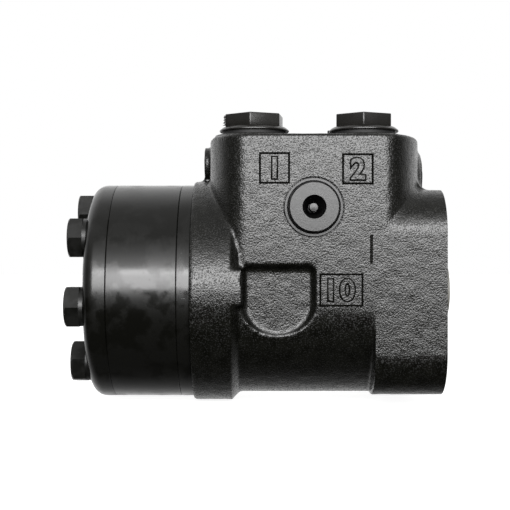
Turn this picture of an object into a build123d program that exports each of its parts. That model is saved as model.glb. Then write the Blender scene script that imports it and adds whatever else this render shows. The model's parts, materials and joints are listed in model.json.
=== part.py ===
"""Orbital steering unit, 230 cm3 class, with load sensing port.

Millimetres. The origin is the centre of the mounting face on the spool axis.
+X points out of the mounting face to the steering column, +Z up to the port face,
and the load sensing port is on the -Y side.
"""

import os
from math import atan2, cos, degrees, hypot, pi, radians, sin, tan

from build123d import *

# ---- running fits and gaps ----
RUNNING_GAP = 0.03        # radial, spool set in its bores
JOURNAL_GAP = 0.05        # radial, neck in seals and races
AXIAL_GAP = 0.05          # end float of gear wheel and bearing
GEROTOR_GAP = 0.08        # star to ring, along the normal
SPLINE_GAP = 0.3          # flank gap of the crowned head in the star
SEAT_GAP = 0.02           # parts that lie against a seat but move off it
BOLT_GAP = 0.25           # radial, bolt in a clearance hole
THREAD_GAP = 0.05         # radial, male thread in tapped hole

# ---- housing casting ----
HOUSING_LENGTH = 109.8
REAR_FLANGE_DIAMETER = 103.0
REAR_FLANGE_WIDTH = 17.1
REAR_FLANGE_SLOPE = 2.8
REAR_FLANGE_CHAMFER = 0.8
BARREL_DIAMETER = 95.4
BODY_HALF_WIDTH = 46.0
FLANGE_SIDE = 92.0
FLANGE_CORNER = 20.0
FLANGE_THICKNESS = 31.0
BLOCK_TOP = 69.4
BLOCK_REAR_SETBACK = 7.5  # block's rear end forward of the housing's rear face
BLOCK_FRONT_SETBACK = 7.6 # block's front end behind the mounting face
BLOCK_REAR_CORNER = (18.0, 30.0)    # semi-axes of the quarter ellipse, along X and Y
BLOCK_FRONT_CORNER = (20.0, 40.0)
BLOCK_FOOT_FILLET = 6.0
BLOCK_TOP_FILLET = 0.8

BARREL_SHOULDER_RADIUS = 40.0   # blends the barrel's flat flanks into its round

# ---- half-round pad, sunk into the near side ----
PAD_CENTRE_X = -72.3
PAD_HALF_WIDTH = 14.3
PAD_TOP = 10.4
PAD_BOTTOM = -18.0
PAD_ARC_TOP = -6.0
PAD_DEPTH = 3.4
PAD_WALL_SLOPE = 30.0     # degrees from the pad's normal
PAD_CORNER = 1.5

# ---- web between the rear flange and the pad ----
WEB_TOP = 10.8
WEB_BOTTOM = -5.3
WEB_LEAN = 1.6            # how far its end face leans towards the pad

# ---- bosses on the block ----
REAR_BOSS_DIAMETER = 16.2
REAR_BOSS_Z = 59.6
REAR_BOSS_HEIGHT = 3.3
FRONT_BOSS_DIAMETER = 30.0
FRONT_BOSS_Z = 53.2
FRONT_BOSS_FACE = -6.6
VALVE_BOSS_DIAMETER = 24.0
VALVE_BOSS_FACE = -5.2
GALLERY_PLUG_DIAMETER = 7.0
GALLERY_PLUG_DEPTH = 6.0
GALLERY_PLUG_RECESS = 0.3
GALLERY_PLUG_GAP = 0.01

# ---- gear wheel set ----
PLATE_THICKNESS = 5.9
GEAR_DIAMETER = 98.0
GEAR_WIDTH = 30.0
COVER_THICKNESS = 10.4
COVER_EDGE_RADIUS = 6.0
JOINT_CHAMFER = 0.25
LOBES = 7
LOBE_CIRCLE_RADIUS = 34.0
LOBE_RADIUS = 7.0
ECCENTRICITY = 3.2
RING_VALLEY_RADIUS = 33.6
LOBE_PHASE = 86.6         # degrees from +Y towards +Z
FEED_HOLE_DIAMETER = 5.0
FEED_CIRCLE_RADIUS = 28.5
FEED_DEPTH = 22.0
PLATE_BORE_DIAMETER = 29.0
O_RING_SECTION = 2.0
O_RING_RADIUS = 44.6
O_RING_SQUASH = 0.4
O_RING_SIDE_GAP = 0.2

# ---- cover bolts ----
BOLT_CIRCLE_RADIUS = 36.0
BOLT_DIAMETER = 10.0
BOLT_HEAD_FLATS = 17.0
BOLT_HEAD_HEIGHT = 6.4
BOLT_HEAD_CROWN = 1.4     # depth of the bevel on the head's corners
BOLT_FACE_SHARE = 0.86    # of the corner radius that stays flat
BOLT_THREAD_LENGTH = 18.0
BOLT_HOLE_SPARE = 3.0
WASHER_THICKNESS = 1.8
WASHER_DIAMETER = 17.2
BOLT_TURNS = (3.7, 28.0, 12.0, 41.0, 49.4, 0.0, 0.0)    # how far each head is turned, degrees

# ---- spool set ----
SLEEVE_DIAMETER = 44.0
SPOOL_DIAMETER = 35.0
SPOOL_NECK_DIAMETER = 28.0
NECK_RELIEF = 0.4         # radial, housing round the neck between its seals
SPOOL_CAVITY_DIAMETER = 27.0
SPOOL_END = -1.6
BEARING_SHOULDER = -16.0
RACE_OUTER_THICKNESS = 2.5
RACE_INNER_THICKNESS = 1.5
NEEDLE_DIAMETER = 2.0
NEEDLE_LENGTH = 5.0
NEEDLE_COUNT = 16
CAGE_SIDE_GAP = 0.4       # cage to each race
CAGE_WINDOW_GAP = 0.1
RACE_DIAMETER = 43.4
SPLINE_TEETH = 12
SPLINE_PITCH_DIAMETER = 19.05
SPLINE_TOOTH_HEIGHT = 1.6
SPLINE_LENGTH = 19.0
SLEEVE_END_FLOAT = 0.3
PIN_X = -44.0
PIN_DIAMETER = 8.0
SPRING_SLOT_WIDTH = 7.0
SPRING_SIDE_GAP = 0.3
PIN_SLOT_CLEARANCE = 0.6
TRAVEL_SPARE = 1.5        # degrees of slot past the spool's travel
SPRING_X = -28.5
SPRING_LENGTH = 39.6
SPRING_LEAF = 0.7
SPRING_BOW = 1.0          # how far the arched leaves' ends stand off their middle
SPRING_GROOVE_DIAMETER = 40.4
SPRING_RING_WALL = 0.75
SPOOL_TRAVEL = 8.0        # degrees either way against the springs
METERING_HOLE_DIAMETER = 3.0
HOLE_ROWS = (-58.0, -70.0, -82.0, -94.0)
HOLES_PER_ROW = 6
SPOOL_GROOVE_WIDTH = 4.0
SPOOL_GROOVE_DEPTH = 1.5
FLUTE_LENGTH = 18.0
FLUTE_WIDTH = 3.0
FLUTE_DEPTH = 1.2
SPOOL_EDGE = 0.5
SPOOL_CAVITY_PAST_PIN = 8.2

# ---- cardan shaft ----
CARDAN_DIAMETER = 15.0
FORK_DIAMETER = 22.0
FORK_LENGTH = 18.0
FORK_TIP_X = -37.5
FORK_SLOT_GAP = 0.06      # each side of the cross pin
FORK_SLOT_FLOOR = 0.7     # behind the cross pin, room for the shaft's tilt
HEAD_TEETH = 12
HEAD_ROOT_RADIUS = 9.6
HEAD_TIP_RADIUS = 12.0
HEAD_LENGTH = 12.0
HEAD_CROWN = 0.5
SPACER_THICKNESS = 6.0

# ---- seals ----
DUST_SEAL_DIAMETER = 40.0
DUST_SEAL_DEPTH = 6.2
SHAFT_SEAL_DIAMETER = 36.0
SHAFT_SEAL_X = (-13.4, -9.4)

# ---- ports, G thread sizes by their tapping radius ----
PORT_X = (-82.4, -33.6)
PORT_HALF_PITCH_Y = 24.0
PORT_THREAD_RADIUS = 9.32
PORT_THREAD_DEPTH = 16.0
PORT_CORE_RADIUS = 5.8
PORT_CORE_BOTTOM = 22.0
PUMP_GALLERY_RADIUS = 3.3
PUMP_GALLERY_BOTTOM = 14.0
PUMP_GALLERY_SHIFT = 5.0
PORT_FACE_RADIUS = 16.8
PORT_FACE_DEPTH = 0.4
PLUG_COLLAR_DIAMETER = 31.0
PLUG_COLLAR_HEIGHT = 1.8
PLUG_SEAL_HEIGHT = 2.2
PLUG_SEAL_DIAMETER = 28.0
PLUG_HEX_FLATS = 24.0
PLUG_HEX_HEIGHT = 5.2
PLUG_STEM_LENGTH = 11.0
PLUG_WALL = 2.4
PLUG_TURNS = (21.6, 30.0, 30.0, 30.0)
LS_X = -57.0
LS_Z = 36.9
LS_THREAD_RADIUS = 5.9
LS_THREAD_DEPTH = 13.0
LS_FACE_RADIUS = 13.1
LS_FACE_DEPTH = 1.2
LS_CORE_RADIUS = 2.5
LS_CORE_LENGTH = 8.0
LS_HEAD_DIAMETER = 21.4
LS_HEAD_HEIGHT = 3.4
LS_HOLLOW_DIAMETER = 10.0
LS_HOLLOW_DEPTH = 9.0

# ---- check valve in the pump port ----
CHECK_BALL_DIAMETER = 9.5
CHECK_BALL_LIFT = 2.0
CHECK_BUSH_HEIGHT = 7.0
CHECK_BUSH_BORE = 3.4
CHECK_STOP_DIAMETER = 3.0
CHECK_STOP_Z = 37.0
CHECK_BUSH_SEAT = 0.8     # how far the ball sinks into the bush

# ---- relief valve, behind the front plug ----
RELIEF_BORE_RADIUS = 7.0
RELIEF_BORE_DEPTH = 40.0
RELIEF_SEAT_RADIUS = 3.0
RELIEF_OUTLET = 8.0
RELIEF_PLUG_LENGTH = 9.0
PLUG_EDGE = 0.6
RELIEF_PLUG_DEPTH = 0.6   # sunk below the boss face
RELIEF_SEAL_SECTION = 1.6
RELIEF_SCREW_LENGTH = 7.0
RELIEF_POPPET_LENGTH = 8.0
HEX_KEY_FLATS = 6.0

# ---- shock valves in the port face ----
SHOCK_X = -67.0
SHOCK_HALF_PITCH_Y = 8.0
SHOCK_BORE_RADIUS = 5.0
SHOCK_BORE_DEPTH = 30.0
SHOCK_SEAT_RADIUS = 2.2
SHOCK_OUTLET = 6.0
SHOCK_BALL_DIAMETER = 6.0
SHOCK_SCREW_LENGTH = 9.0
SHOCK_SCREW_DEPTH = 1.0
SHOCK_KEY_FLATS = 5.0
SPRING_COILS = 4
SPRING_WIRE = 1.2

# ---- suction valves at the bottom of two bolt holes ----
SUCTION_BOLTS = range(4, 6)      # the bolt holes that hold a suction valve
SUCTION_BALL_DIAMETER = 7.6
SUCTION_HOLE_RADIUS = 4.0
SUCTION_SEAT_RADIUS = 2.4
SUCTION_PIN_DIAMETER = 4.0
SUCTION_PIN_LENGTH = 5.0
SUCTION_LIFT = 1.5
SUCTION_OUTLET = 8.0
SUCTION_SEAT_DEPTH = 0.8  # how far the ball sinks into its seat

# ---- column mounting holes ----
COLUMN_CIRCLE_DIAMETER = 82.5
COLUMN_HOLE_RADIUS = 4.25
COLUMN_HOLE_DEPTH = 18.0

# ---- plastic cap in the spline ----
CAP_FLANGE_RADIUS = 12.5
CAP_FLANGE_THICKNESS = 1.6
CAP_FACE_X = 7.2
CAP_TIP_RADIUS = 7.2
CAP_LENGTH = 18.0
CAP_WALL = 1.2
CAP_FLARE = 0.8
CAP_FIT_GAP = 0.1

# ---- places that follow from the sizes ----
HOUSING_BACK = -HOUSING_LENGTH
BLOCK_REAR = HOUSING_BACK + BLOCK_REAR_SETBACK
BLOCK_FRONT = -BLOCK_FRONT_SETBACK
REAR_BOSS_FACE = BLOCK_REAR - REAR_BOSS_HEIGHT
PAD_FACE_Y = PAD_DEPTH - BODY_HALF_WIDTH
BOSS_ROOT = 6.0           # how far the bosses reach into the block
PLATE_BACK = HOUSING_BACK - PLATE_THICKNESS
RING_BACK = PLATE_BACK - GEAR_WIDTH
COVER_BACK = RING_BACK - COVER_THICKNESS
SLEEVE_RADIUS = SLEEVE_DIAMETER / 2 - RUNNING_GAP
SPOOL_RADIUS = SPOOL_DIAMETER / 2 - RUNNING_GAP
NECK_RADIUS = SPOOL_NECK_DIAMETER / 2
NECK_BORE_RADIUS = NECK_RADIUS + JOURNAL_GAP
NECK_RELIEF_RADIUS = NECK_BORE_RADIUS + NECK_RELIEF
RACE_INNER_FRONT = BEARING_SHOULDER - RACE_OUTER_THICKNESS - NEEDLE_DIAMETER - 2 * SEAT_GAP
SLEEVE_FRONT = RACE_INNER_FRONT - RACE_INNER_THICKNESS
SLEEVE_BACK = HOUSING_BACK + SLEEVE_END_FLOAT
BOLT_ANGLES = [LOBE_PHASE - 360 / LOBES * k for k in range(LOBES)]
STAR_Y = ECCENTRICITY * cos(radians(LOBE_PHASE))
STAR_Z = ECCENTRICITY * sin(radians(LOBE_PHASE))
STAR_MIDDLE_X = (PLATE_BACK + RING_BACK) / 2
CARDAN_TILT = degrees(atan2(ECCENTRICITY, PIN_X - STAR_MIDDLE_X))
RELIEF_BOTTOM = VALVE_BOSS_FACE - RELIEF_BORE_DEPTH
RELIEF_PLUG_FRONT = VALVE_BOSS_FACE - RELIEF_PLUG_DEPTH
RELIEF_PLUG_BACK = RELIEF_PLUG_FRONT - RELIEF_PLUG_LENGTH
SHOCK_BOTTOM = BLOCK_TOP - SHOCK_BORE_DEPTH
PUMP_PORT = (PORT_X[1], PORT_HALF_PITCH_Y)
BOLT_TIP = HOUSING_BACK + BOLT_THREAD_LENGTH
BOLT_HOLE_END = BOLT_TIP + BOLT_HOLE_SPARE


# ---- helpers ----
# Turns a shape drawn in XY and raised along Z so that its X, Y and Z lie along Y, Z and X.
UPRIGHT = Rot(90, 90, 0)


def rod(start, end, radius, y=0.0, z=0.0):
    """Cylinder along X."""
    return Pos((start + end) / 2, y, z) * Rot(0, 90, 0) * Cylinder(radius, abs(end - start))


def post(bottom, top, radius, x=0.0, y=0.0):
    """Cylinder along Z."""
    return Pos(x, y, (bottom + top) / 2) * Cylinder(radius, top - bottom)


def peg(start, end, radius, x, z):
    """Cylinder along Y."""
    return Pos(x, (start + end) / 2, z) * Rot(90, 0, 0) * Cylinder(radius, abs(end - start))


def turned(*corners):
    """Solid of revolution about X from corners given as (x, radius)."""
    outline = Polyline(*[(x, r) for x, r in corners], close=True)
    return revolve(make_face(outline), Axis.X, 360)


def turned_up(*corners):
    """Solid of revolution about Z from corners given as (radius, z)."""
    outline = Polyline(*[(r, 0, z) for r, z in corners], close=True)
    return revolve(make_face(outline), Axis.Z, 360)


def hexagon_bar(start, end, flats, turn=0.0, y=0.0, z=0.0):
    """Hexagonal bar along X; at turn 0 a corner points along Y."""
    section = Rot(0, 0, turn) * RegularPolygon(flats / 2, 6, major_radius=False)
    bar = extrude(section, abs(end - start))
    return Pos(min(start, end), y, z) * UPRIGHT * bar


def on_circle(radius, angle):
    """(y, z) at an angle from +Y towards +Z."""
    return radius * cos(radians(angle)), radius * sin(radians(angle))


def around(shape, count, first=0.0):
    """Copies of a shape turned about X."""
    return [Rot(first + 360 / count * k, 0, 0) * shape for k in range(count)]


def save(shape, name):
    solids = shape.solids() if hasattr(shape, "solids") else [s for part in shape for s in part.solids()]
    export_step(Compound(children=list(solids)) if len(solids) > 1 else solids[0], f"parts/{name}.step")


# ---- housing ----
def block_outline():
    """Plan outline of the port block: straight flanks, elliptic corners and nearly straight ends."""
    rear_a, rear_b = BLOCK_REAR_CORNER
    front_a, front_b = BLOCK_FRONT_CORNER
    rear_x = BLOCK_REAR + rear_a
    front_x = BLOCK_FRONT - front_a
    rear_y = BODY_HALF_WIDTH - rear_b
    front_y = BODY_HALF_WIDTH - front_b
    lines = [
        Line((rear_x, BODY_HALF_WIDTH), (front_x, BODY_HALF_WIDTH)),
        EllipticalCenterArc((front_x, front_y), front_a, front_b, 0),
        Line((BLOCK_FRONT, front_y), (BLOCK_FRONT, -front_y)),
        EllipticalCenterArc((front_x, -front_y), front_a, front_b, 270),
        Line((front_x, -BODY_HALF_WIDTH), (rear_x, -BODY_HALF_WIDTH)),
        EllipticalCenterArc((rear_x, -rear_y), rear_a, rear_b, 180),
        Line((BLOCK_REAR, -rear_y), (BLOCK_REAR, rear_y)),
        EllipticalCenterArc((rear_x, rear_y), rear_a, rear_b, 90),
    ]
    return make_face(Wire(lines))


def pad_outline():
    """Outline of the half-round pad, X to the right and Z up."""
    left = PAD_CENTRE_X - PAD_HALF_WIDTH
    right = PAD_CENTRE_X + PAD_HALF_WIDTH
    top = Polyline((left, PAD_ARC_TOP), (left, PAD_TOP), (right, PAD_TOP), (right, PAD_ARC_TOP))
    bottom = ThreePointArc((right, PAD_ARC_TOP), (PAD_CENTRE_X, PAD_BOTTOM), (left, PAD_ARC_TOP))
    face = make_face(Wire([*top.edges(), bottom]))
    return fillet(face.vertices().group_by(Axis.Y)[-1], PAD_CORNER)


def casting():
    back = HOUSING_BACK
    barrel_radius = BARREL_DIAMETER / 2
    flange_radius = REAR_FLANGE_DIAMETER / 2
    flange_end = back + REAR_FLANGE_WIDTH
    section = Circle(barrel_radius) & Rectangle(2 * BODY_HALF_WIDTH, BARREL_DIAMETER)
    section = fillet(section.vertices(), BARREL_SHOULDER_RADIUS)
    barrel = Pos(back, 0, 0) * UPRIGHT * extrude(section, HOUSING_LENGTH - FLANGE_THICKNESS / 2)
    rear_flange = turned(
        (back, 0),
        (back, flange_radius - REAR_FLANGE_CHAMFER),
        (back + REAR_FLANGE_CHAMFER, flange_radius),
        (flange_end, flange_radius),
        (flange_end + REAR_FLANGE_SLOPE, flange_radius - REAR_FLANGE_SLOPE),
        (flange_end + REAR_FLANGE_SLOPE, 0),
    )
    flange_plan = Plane.YZ * RectangleRounded(FLANGE_SIDE, FLANGE_SIDE, FLANGE_CORNER)
    front_flange = extrude(flange_plan, -FLANGE_THICKNESS)
    block = extrude(block_outline(), BLOCK_TOP)
    block = fillet(block.faces().sort_by(Axis.Z)[-1].edges(), BLOCK_TOP_FILLET)
    rear_boss = rod(REAR_BOSS_FACE, BLOCK_REAR + BOSS_ROOT, REAR_BOSS_DIAMETER / 2, 0, REAR_BOSS_Z)
    root = BLOCK_FRONT - BOSS_ROOT
    front_boss = rod(root, FRONT_BOSS_FACE, FRONT_BOSS_DIAMETER / 2, 0, FRONT_BOSS_Z)
    front_boss = front_boss + rod(root, VALVE_BOSS_FACE, VALVE_BOSS_DIAMETER / 2, 0, FRONT_BOSS_Z)
    below = Box(2 * FLANGE_THICKNESS, FLANGE_SIDE, 2 * BLOCK_TOP)
    front_boss = front_boss - Pos(0, 0, -BLOCK_TOP + FLANGE_SIDE / 2) * below
    body = barrel + rear_flange + front_flange + block + foot_cove() + rear_boss + front_boss
    recess = extrude(Plane.XZ * pad_outline(), PAD_DEPTH + 1, taper=-PAD_WALL_SLOPE)
    return body - Pos(0, PAD_FACE_Y, 0) * recess + pad_web()


def pad_web():
    """Web that carries the rear flange's round up to the pad."""
    radius = REAR_FLANGE_DIAMETER / 2
    start = HOUSING_BACK + REAR_FLANGE_WIDTH / 2
    foot = PAD_CENTRE_X - PAD_HALF_WIDTH
    plan = make_face(Polyline((start, PAD_FACE_Y + PAD_DEPTH), (foot, PAD_FACE_Y), (foot - WEB_LEAN, -radius),
                              (start, -radius), close=True))
    web = Pos(0, 0, WEB_BOTTOM) * extrude(plan, WEB_TOP - WEB_BOTTOM)
    return web & rod(start, foot + 1, radius)


def foot_cove():
    """Concave fillet where the port block's front end stands on the mounting flange."""
    top = FLANGE_SIDE / 2
    half = top - FLANGE_CORNER
    side = 4 * HOUSING_LENGTH
    ground = Pos(0, 0, top / 2) * Box(side, side, top)
    corner = ground + extrude(block_outline(), top + 3 * BLOCK_FOOT_FILLET)
    foot = []
    for edge in corner.edges():
        middle = edge.center()
        if abs(middle.Z - top) < SEAT_GAP and max(abs(middle.X), abs(middle.Y)) < HOUSING_LENGTH:
            foot.append(edge)
    corner = fillet(foot, BLOCK_FOOT_FILLET)
    reach = Pos(-FLANGE_THICKNESS / 2, 0, top) * Box(FLANGE_THICKNESS, 2 * half, 2 * BLOCK_FOOT_FILLET + 2)
    return corner & reach


def housing_bores():
    """Everything that is machined out of the casting."""
    back = HOUSING_BACK
    bore = SLEEVE_DIAMETER / 2
    cuts = [
        turned(
            (back - 1, 0), (back - 1, bore), (BEARING_SHOULDER, bore), (BEARING_SHOULDER, NECK_RELIEF_RADIUS),
            (SHAFT_SEAL_X[0], NECK_RELIEF_RADIUS), (SHAFT_SEAL_X[0], SHAFT_SEAL_DIAMETER / 2),
            (SHAFT_SEAL_X[1], SHAFT_SEAL_DIAMETER / 2), (SHAFT_SEAL_X[1], NECK_RELIEF_RADIUS),
            (-DUST_SEAL_DEPTH, NECK_RELIEF_RADIUS), (-DUST_SEAL_DEPTH, DUST_SEAL_DIAMETER / 2),
            (1, DUST_SEAL_DIAMETER / 2), (1, 0),
        ),
        o_ring_groove(back),
    ]
    for index, angle in enumerate(BOLT_ANGLES):
        y, z = on_circle(BOLT_CIRCLE_RADIUS, angle)
        cuts.append(rod(back - 1, BOLT_HOLE_END, BOLT_DIAMETER / 2 + THREAD_GAP, y, z))
        if index in SUCTION_BOLTS:
            seat = suction_seat_x()
            cuts.append(rod(BOLT_TIP, seat, SUCTION_HOLE_RADIUS, y, z))
            cuts.append(rod(seat - 1, seat + SUCTION_OUTLET, SUCTION_SEAT_RADIUS, y, z))
        y, z = on_circle(FEED_CIRCLE_RADIUS, angle + 180 / LOBES)
        cuts.append(rod(back - 1, back + FEED_DEPTH, FEED_HOLE_DIAMETER / 2, y, z))
    for angle in (45, 135, 225, 315):
        y, z = on_circle(COLUMN_CIRCLE_DIAMETER / 2, angle)
        cuts.append(rod(-COLUMN_HOLE_DEPTH, 1, COLUMN_HOLE_RADIUS, y, z))
    for x in PORT_X:
        for y in (-PORT_HALF_PITCH_Y, PORT_HALF_PITCH_Y):
            cuts.append(post(BLOCK_TOP - PORT_FACE_DEPTH, BLOCK_TOP + 1, PORT_FACE_RADIUS, x, y))
            cuts.append(post(BLOCK_TOP - PORT_THREAD_DEPTH, BLOCK_TOP + 1, PORT_THREAD_RADIUS, x, y))
    return cuts + valve_bores()


def valve_bores():
    top = BLOCK_TOP
    face_y = -BODY_HALF_WIDTH
    cuts = []
    for x in PORT_X:
        for side in (-1, 1):
            y = side * PORT_HALF_PITCH_Y
            if (x, y) == PUMP_PORT:
                cuts.append(post(CHECK_STOP_Z - CHECK_STOP_DIAMETER, top - PORT_THREAD_DEPTH + 1,
                                 PORT_CORE_RADIUS, x, y))
                cuts.append(post(PUMP_GALLERY_BOTTOM, CHECK_STOP_Z, PUMP_GALLERY_RADIUS, x,
                                 y - PUMP_GALLERY_SHIFT * side))
            else:
                cuts.append(post(PORT_CORE_BOTTOM, top - PORT_THREAD_DEPTH + 1, PORT_CORE_RADIUS, x, y))
    cuts.append(peg(face_y - 1, face_y + LS_FACE_DEPTH, LS_FACE_RADIUS, LS_X, LS_Z))
    cuts.append(peg(face_y, face_y + LS_THREAD_DEPTH, LS_THREAD_RADIUS, LS_X, LS_Z))
    cuts.append(peg(face_y, face_y + LS_THREAD_DEPTH + LS_CORE_LENGTH, LS_CORE_RADIUS, LS_X, LS_Z))
    cuts.append(rod(RELIEF_BOTTOM, VALVE_BOSS_FACE + 1, RELIEF_BORE_RADIUS, 0, FRONT_BOSS_Z))
    cuts.append(rod(RELIEF_BOTTOM - RELIEF_OUTLET, RELIEF_BOTTOM + 1, RELIEF_SEAT_RADIUS, 0, FRONT_BOSS_Z))
    for side in (-1, 1):
        y = side * SHOCK_HALF_PITCH_Y
        cuts.append(post(SHOCK_BOTTOM, top + 1, SHOCK_BORE_RADIUS, SHOCK_X, y))
        cuts.append(post(SHOCK_BOTTOM - SHOCK_OUTLET, SHOCK_BOTTOM + 1, SHOCK_SEAT_RADIUS, SHOCK_X, y))
    cuts.append(rod(REAR_BOSS_FACE - 1, REAR_BOSS_FACE + GALLERY_PLUG_DEPTH, GALLERY_PLUG_DIAMETER / 2,
                    0, REAR_BOSS_Z))
    return cuts


def o_ring_groove(face_x):
    """Annular groove cut forward of a joint face at face_x."""
    half = O_RING_SECTION / 2 + O_RING_SIDE_GAP
    depth = O_RING_SECTION - O_RING_SQUASH
    outer = rod(face_x - 1, face_x + depth, O_RING_RADIUS + half)
    return outer - rod(face_x - 2, face_x + depth + 1, O_RING_RADIUS - half)


def suction_seat_x():
    """X of the seat that each suction ball lies against."""
    return BOLT_TIP + SUCTION_PIN_LENGTH + SUCTION_LIFT + SUCTION_BALL_DIAMETER


def make_housing():
    body = casting()
    for cut in housing_bores():
        body = body - cut
    return body


# ---- gear wheel set ----
def bolt_holes(start, end):
    holes = []
    for angle in BOLT_ANGLES:
        y, z = on_circle(BOLT_CIRCLE_RADIUS, angle)
        holes.append(rod(start - 1, end + 1, BOLT_DIAMETER / 2 + BOLT_GAP, y, z))
    return holes


def disc(back, front):
    """Machined disc of the gear wheel set with lightly chamfered rims."""
    radius = GEAR_DIAMETER / 2
    edge = JOINT_CHAMFER
    return turned((back, 0), (back, radius - edge), (back + edge, radius), (front - edge, radius),
                  (front, radius - edge), (front, 0))


def make_plate():
    plate = disc(PLATE_BACK, HOUSING_BACK)
    plate = plate - rod(PLATE_BACK - 1, HOUSING_BACK + 1, PLATE_BORE_DIAMETER / 2)
    plate = plate - o_ring_groove(PLATE_BACK)
    for hole in bolt_holes(PLATE_BACK, HOUSING_BACK):
        plate = plate - hole
    for angle in BOLT_ANGLES:
        y, z = on_circle(FEED_CIRCLE_RADIUS, angle + 180 / LOBES)
        plate = plate - rod(PLATE_BACK - 1, HOUSING_BACK + 1, FEED_HOLE_DIAMETER / 2, y, z)
    return plate


def make_ring():
    ring = disc(RING_BACK, PLATE_BACK)
    hollow = rod(RING_BACK - 1, PLATE_BACK + 1, RING_VALLEY_RADIUS)
    for angle in BOLT_ANGLES:
        y, z = on_circle(LOBE_CIRCLE_RADIUS, angle)
        hollow = hollow - rod(RING_BACK - 2, PLATE_BACK + 2, LOBE_RADIUS, y, z)
    ring = ring - hollow
    ring = ring - o_ring_groove(RING_BACK)
    for hole in bolt_holes(RING_BACK, PLATE_BACK):
        ring = ring - hole
    return ring


def star_point(turn):
    """Point of the star's outline: the lobe centres' path, offset inwards by the lobe radius."""
    big, small, teeth = LOBE_CIRCLE_RADIUS, ECCENTRICITY, LOBES
    x = big * cos(turn) - small * cos(teeth * turn)
    y = big * sin(turn) - small * sin(teeth * turn)
    normal_x = big * cos(turn) - teeth * small * cos(teeth * turn)
    normal_y = big * sin(turn) - teeth * small * sin(teeth * turn)
    scale = (LOBE_RADIUS + GEROTOR_GAP) / hypot(normal_x, normal_y)
    return x - scale * normal_x, y - scale * normal_y


def toothed(count, root, tip, root_share=0.56, tip_share=0.34):
    """Closed outline of straight-sided teeth."""
    points = []
    pitch = 360 / count
    for k in range(count):
        middle = k * pitch
        for radius, offset in ((root, -root_share / 2), (tip, -tip_share / 2), (tip, tip_share / 2),
                               (root, root_share / 2)):
            angle = radians(middle + offset * pitch)
            points.append((radius * cos(angle), radius * sin(angle)))
    return make_face(Polyline(*points, close=True))


def make_star():
    steps = 16 * (LOBES - 1)
    outline = [star_point(2 * pi * k / steps) for k in range(steps)]
    section = make_face(Spline(*outline, periodic=True))
    section = section - toothed(HEAD_TEETH, HEAD_ROOT_RADIUS + SPLINE_GAP, HEAD_TIP_RADIUS + SPLINE_GAP,
                                root_share=0.62, tip_share=0.5)
    length = GEAR_WIDTH - 2 * AXIAL_GAP
    star = Rot(0, 0, LOBE_PHASE) * extrude(section, length)
    return Pos(RING_BACK + AXIAL_GAP, STAR_Y, STAR_Z) * UPRIGHT * star


def make_cover():
    radius = GEAR_DIAMETER / 2
    edge = JOINT_CHAMFER
    cover = turned((COVER_BACK, 0), (COVER_BACK, radius), (RING_BACK - edge, radius),
                   (RING_BACK, radius - edge), (RING_BACK, 0))
    rim = cover.edges().filter_by(GeomType.CIRCLE).sort_by(Axis.X)[0]
    cover = fillet(rim, COVER_EDGE_RADIUS)
    for hole in bolt_holes(COVER_BACK, RING_BACK):
        cover = cover - hole
    return cover


def make_o_ring(face_x):
    depth = O_RING_SECTION - O_RING_SQUASH
    outline = RectangleRounded(depth, O_RING_SECTION, O_RING_SECTION * 0.3)
    return revolve(Pos(face_x + depth / 2, O_RING_RADIUS, 0) * outline, Axis.X, 360)


def make_bolts():
    bolts = []
    seat = COVER_BACK - WASHER_THICKNESS
    head_end = seat - BOLT_HEAD_HEIGHT
    corner = BOLT_HEAD_FLATS / 2 / cos(radians(30))
    rim = corner + BOLT_GAP
    crown = turned((head_end, 0), (head_end, corner * BOLT_FACE_SHARE), (head_end + BOLT_HEAD_CROWN, rim),
                   (seat, rim), (seat, 0))
    for angle, turn in zip(BOLT_ANGLES, BOLT_TURNS):
        y, z = on_circle(BOLT_CIRCLE_RADIUS, angle)
        head = Pos(0, y, z) * (hexagon_bar(head_end, seat, BOLT_HEAD_FLATS, turn) & crown)
        bolts.append(head + rod(seat - 1, BOLT_TIP, BOLT_DIAMETER / 2, y, z))
    return bolts


def make_washers():
    washers = []
    for angle in BOLT_ANGLES:
        y, z = on_circle(BOLT_CIRCLE_RADIUS, angle)
        ring = rod(COVER_BACK - WASHER_THICKNESS, COVER_BACK, WASHER_DIAMETER / 2, y, z)
        hole = rod(COVER_BACK - WASHER_THICKNESS - 1, COVER_BACK + 1, BOLT_DIAMETER / 2 + BOLT_GAP, y, z)
        washers.append(ring - hole)
    return washers


# ---- spool set ----
def make_sleeve():
    sleeve = rod(SLEEVE_BACK, SLEEVE_FRONT, SLEEVE_RADIUS)
    sleeve = sleeve - rod(SLEEVE_BACK - 1, SLEEVE_FRONT + 1, SPOOL_DIAMETER / 2)
    groove_back = SPRING_X - SPRING_SLOT_WIDTH / 2 - SPRING_SIDE_GAP
    groove_front = SPRING_X + SPRING_SLOT_WIDTH / 2 + SPRING_SIDE_GAP
    groove = rod(groove_back, groove_front, SLEEVE_RADIUS + 1)
    sleeve = sleeve - (groove - rod(groove_back - 1, groove_front + 1, SPRING_GROOVE_DIAMETER / 2))
    sleeve = sleeve - spring_slot(0.15)
    sleeve = sleeve - post(-SLEEVE_RADIUS - 1, SLEEVE_RADIUS + 1, PIN_DIAMETER / 2 + SEAT_GAP, PIN_X)
    for row, x in enumerate(HOLE_ROWS):
        hole = post(0, SLEEVE_RADIUS + 1, METERING_HOLE_DIAMETER / 2, x)
        for copy in around(hole, HOLES_PER_ROW, 30 * (row % 2) + 15):
            sleeve = sleeve - copy
    return sleeve


def spring_slot(gap):
    """Slot across the axis for the leaf springs, which stand upright along Z."""
    stack = 6 * SPRING_LEAF + 2 * SPRING_BOW + 2 * gap + 0.1
    return Pos(SPRING_X, 0, 0) * Box(SPRING_SLOT_WIDTH + SPRING_SIDE_GAP, stack, SLEEVE_DIAMETER + 2)


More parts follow.
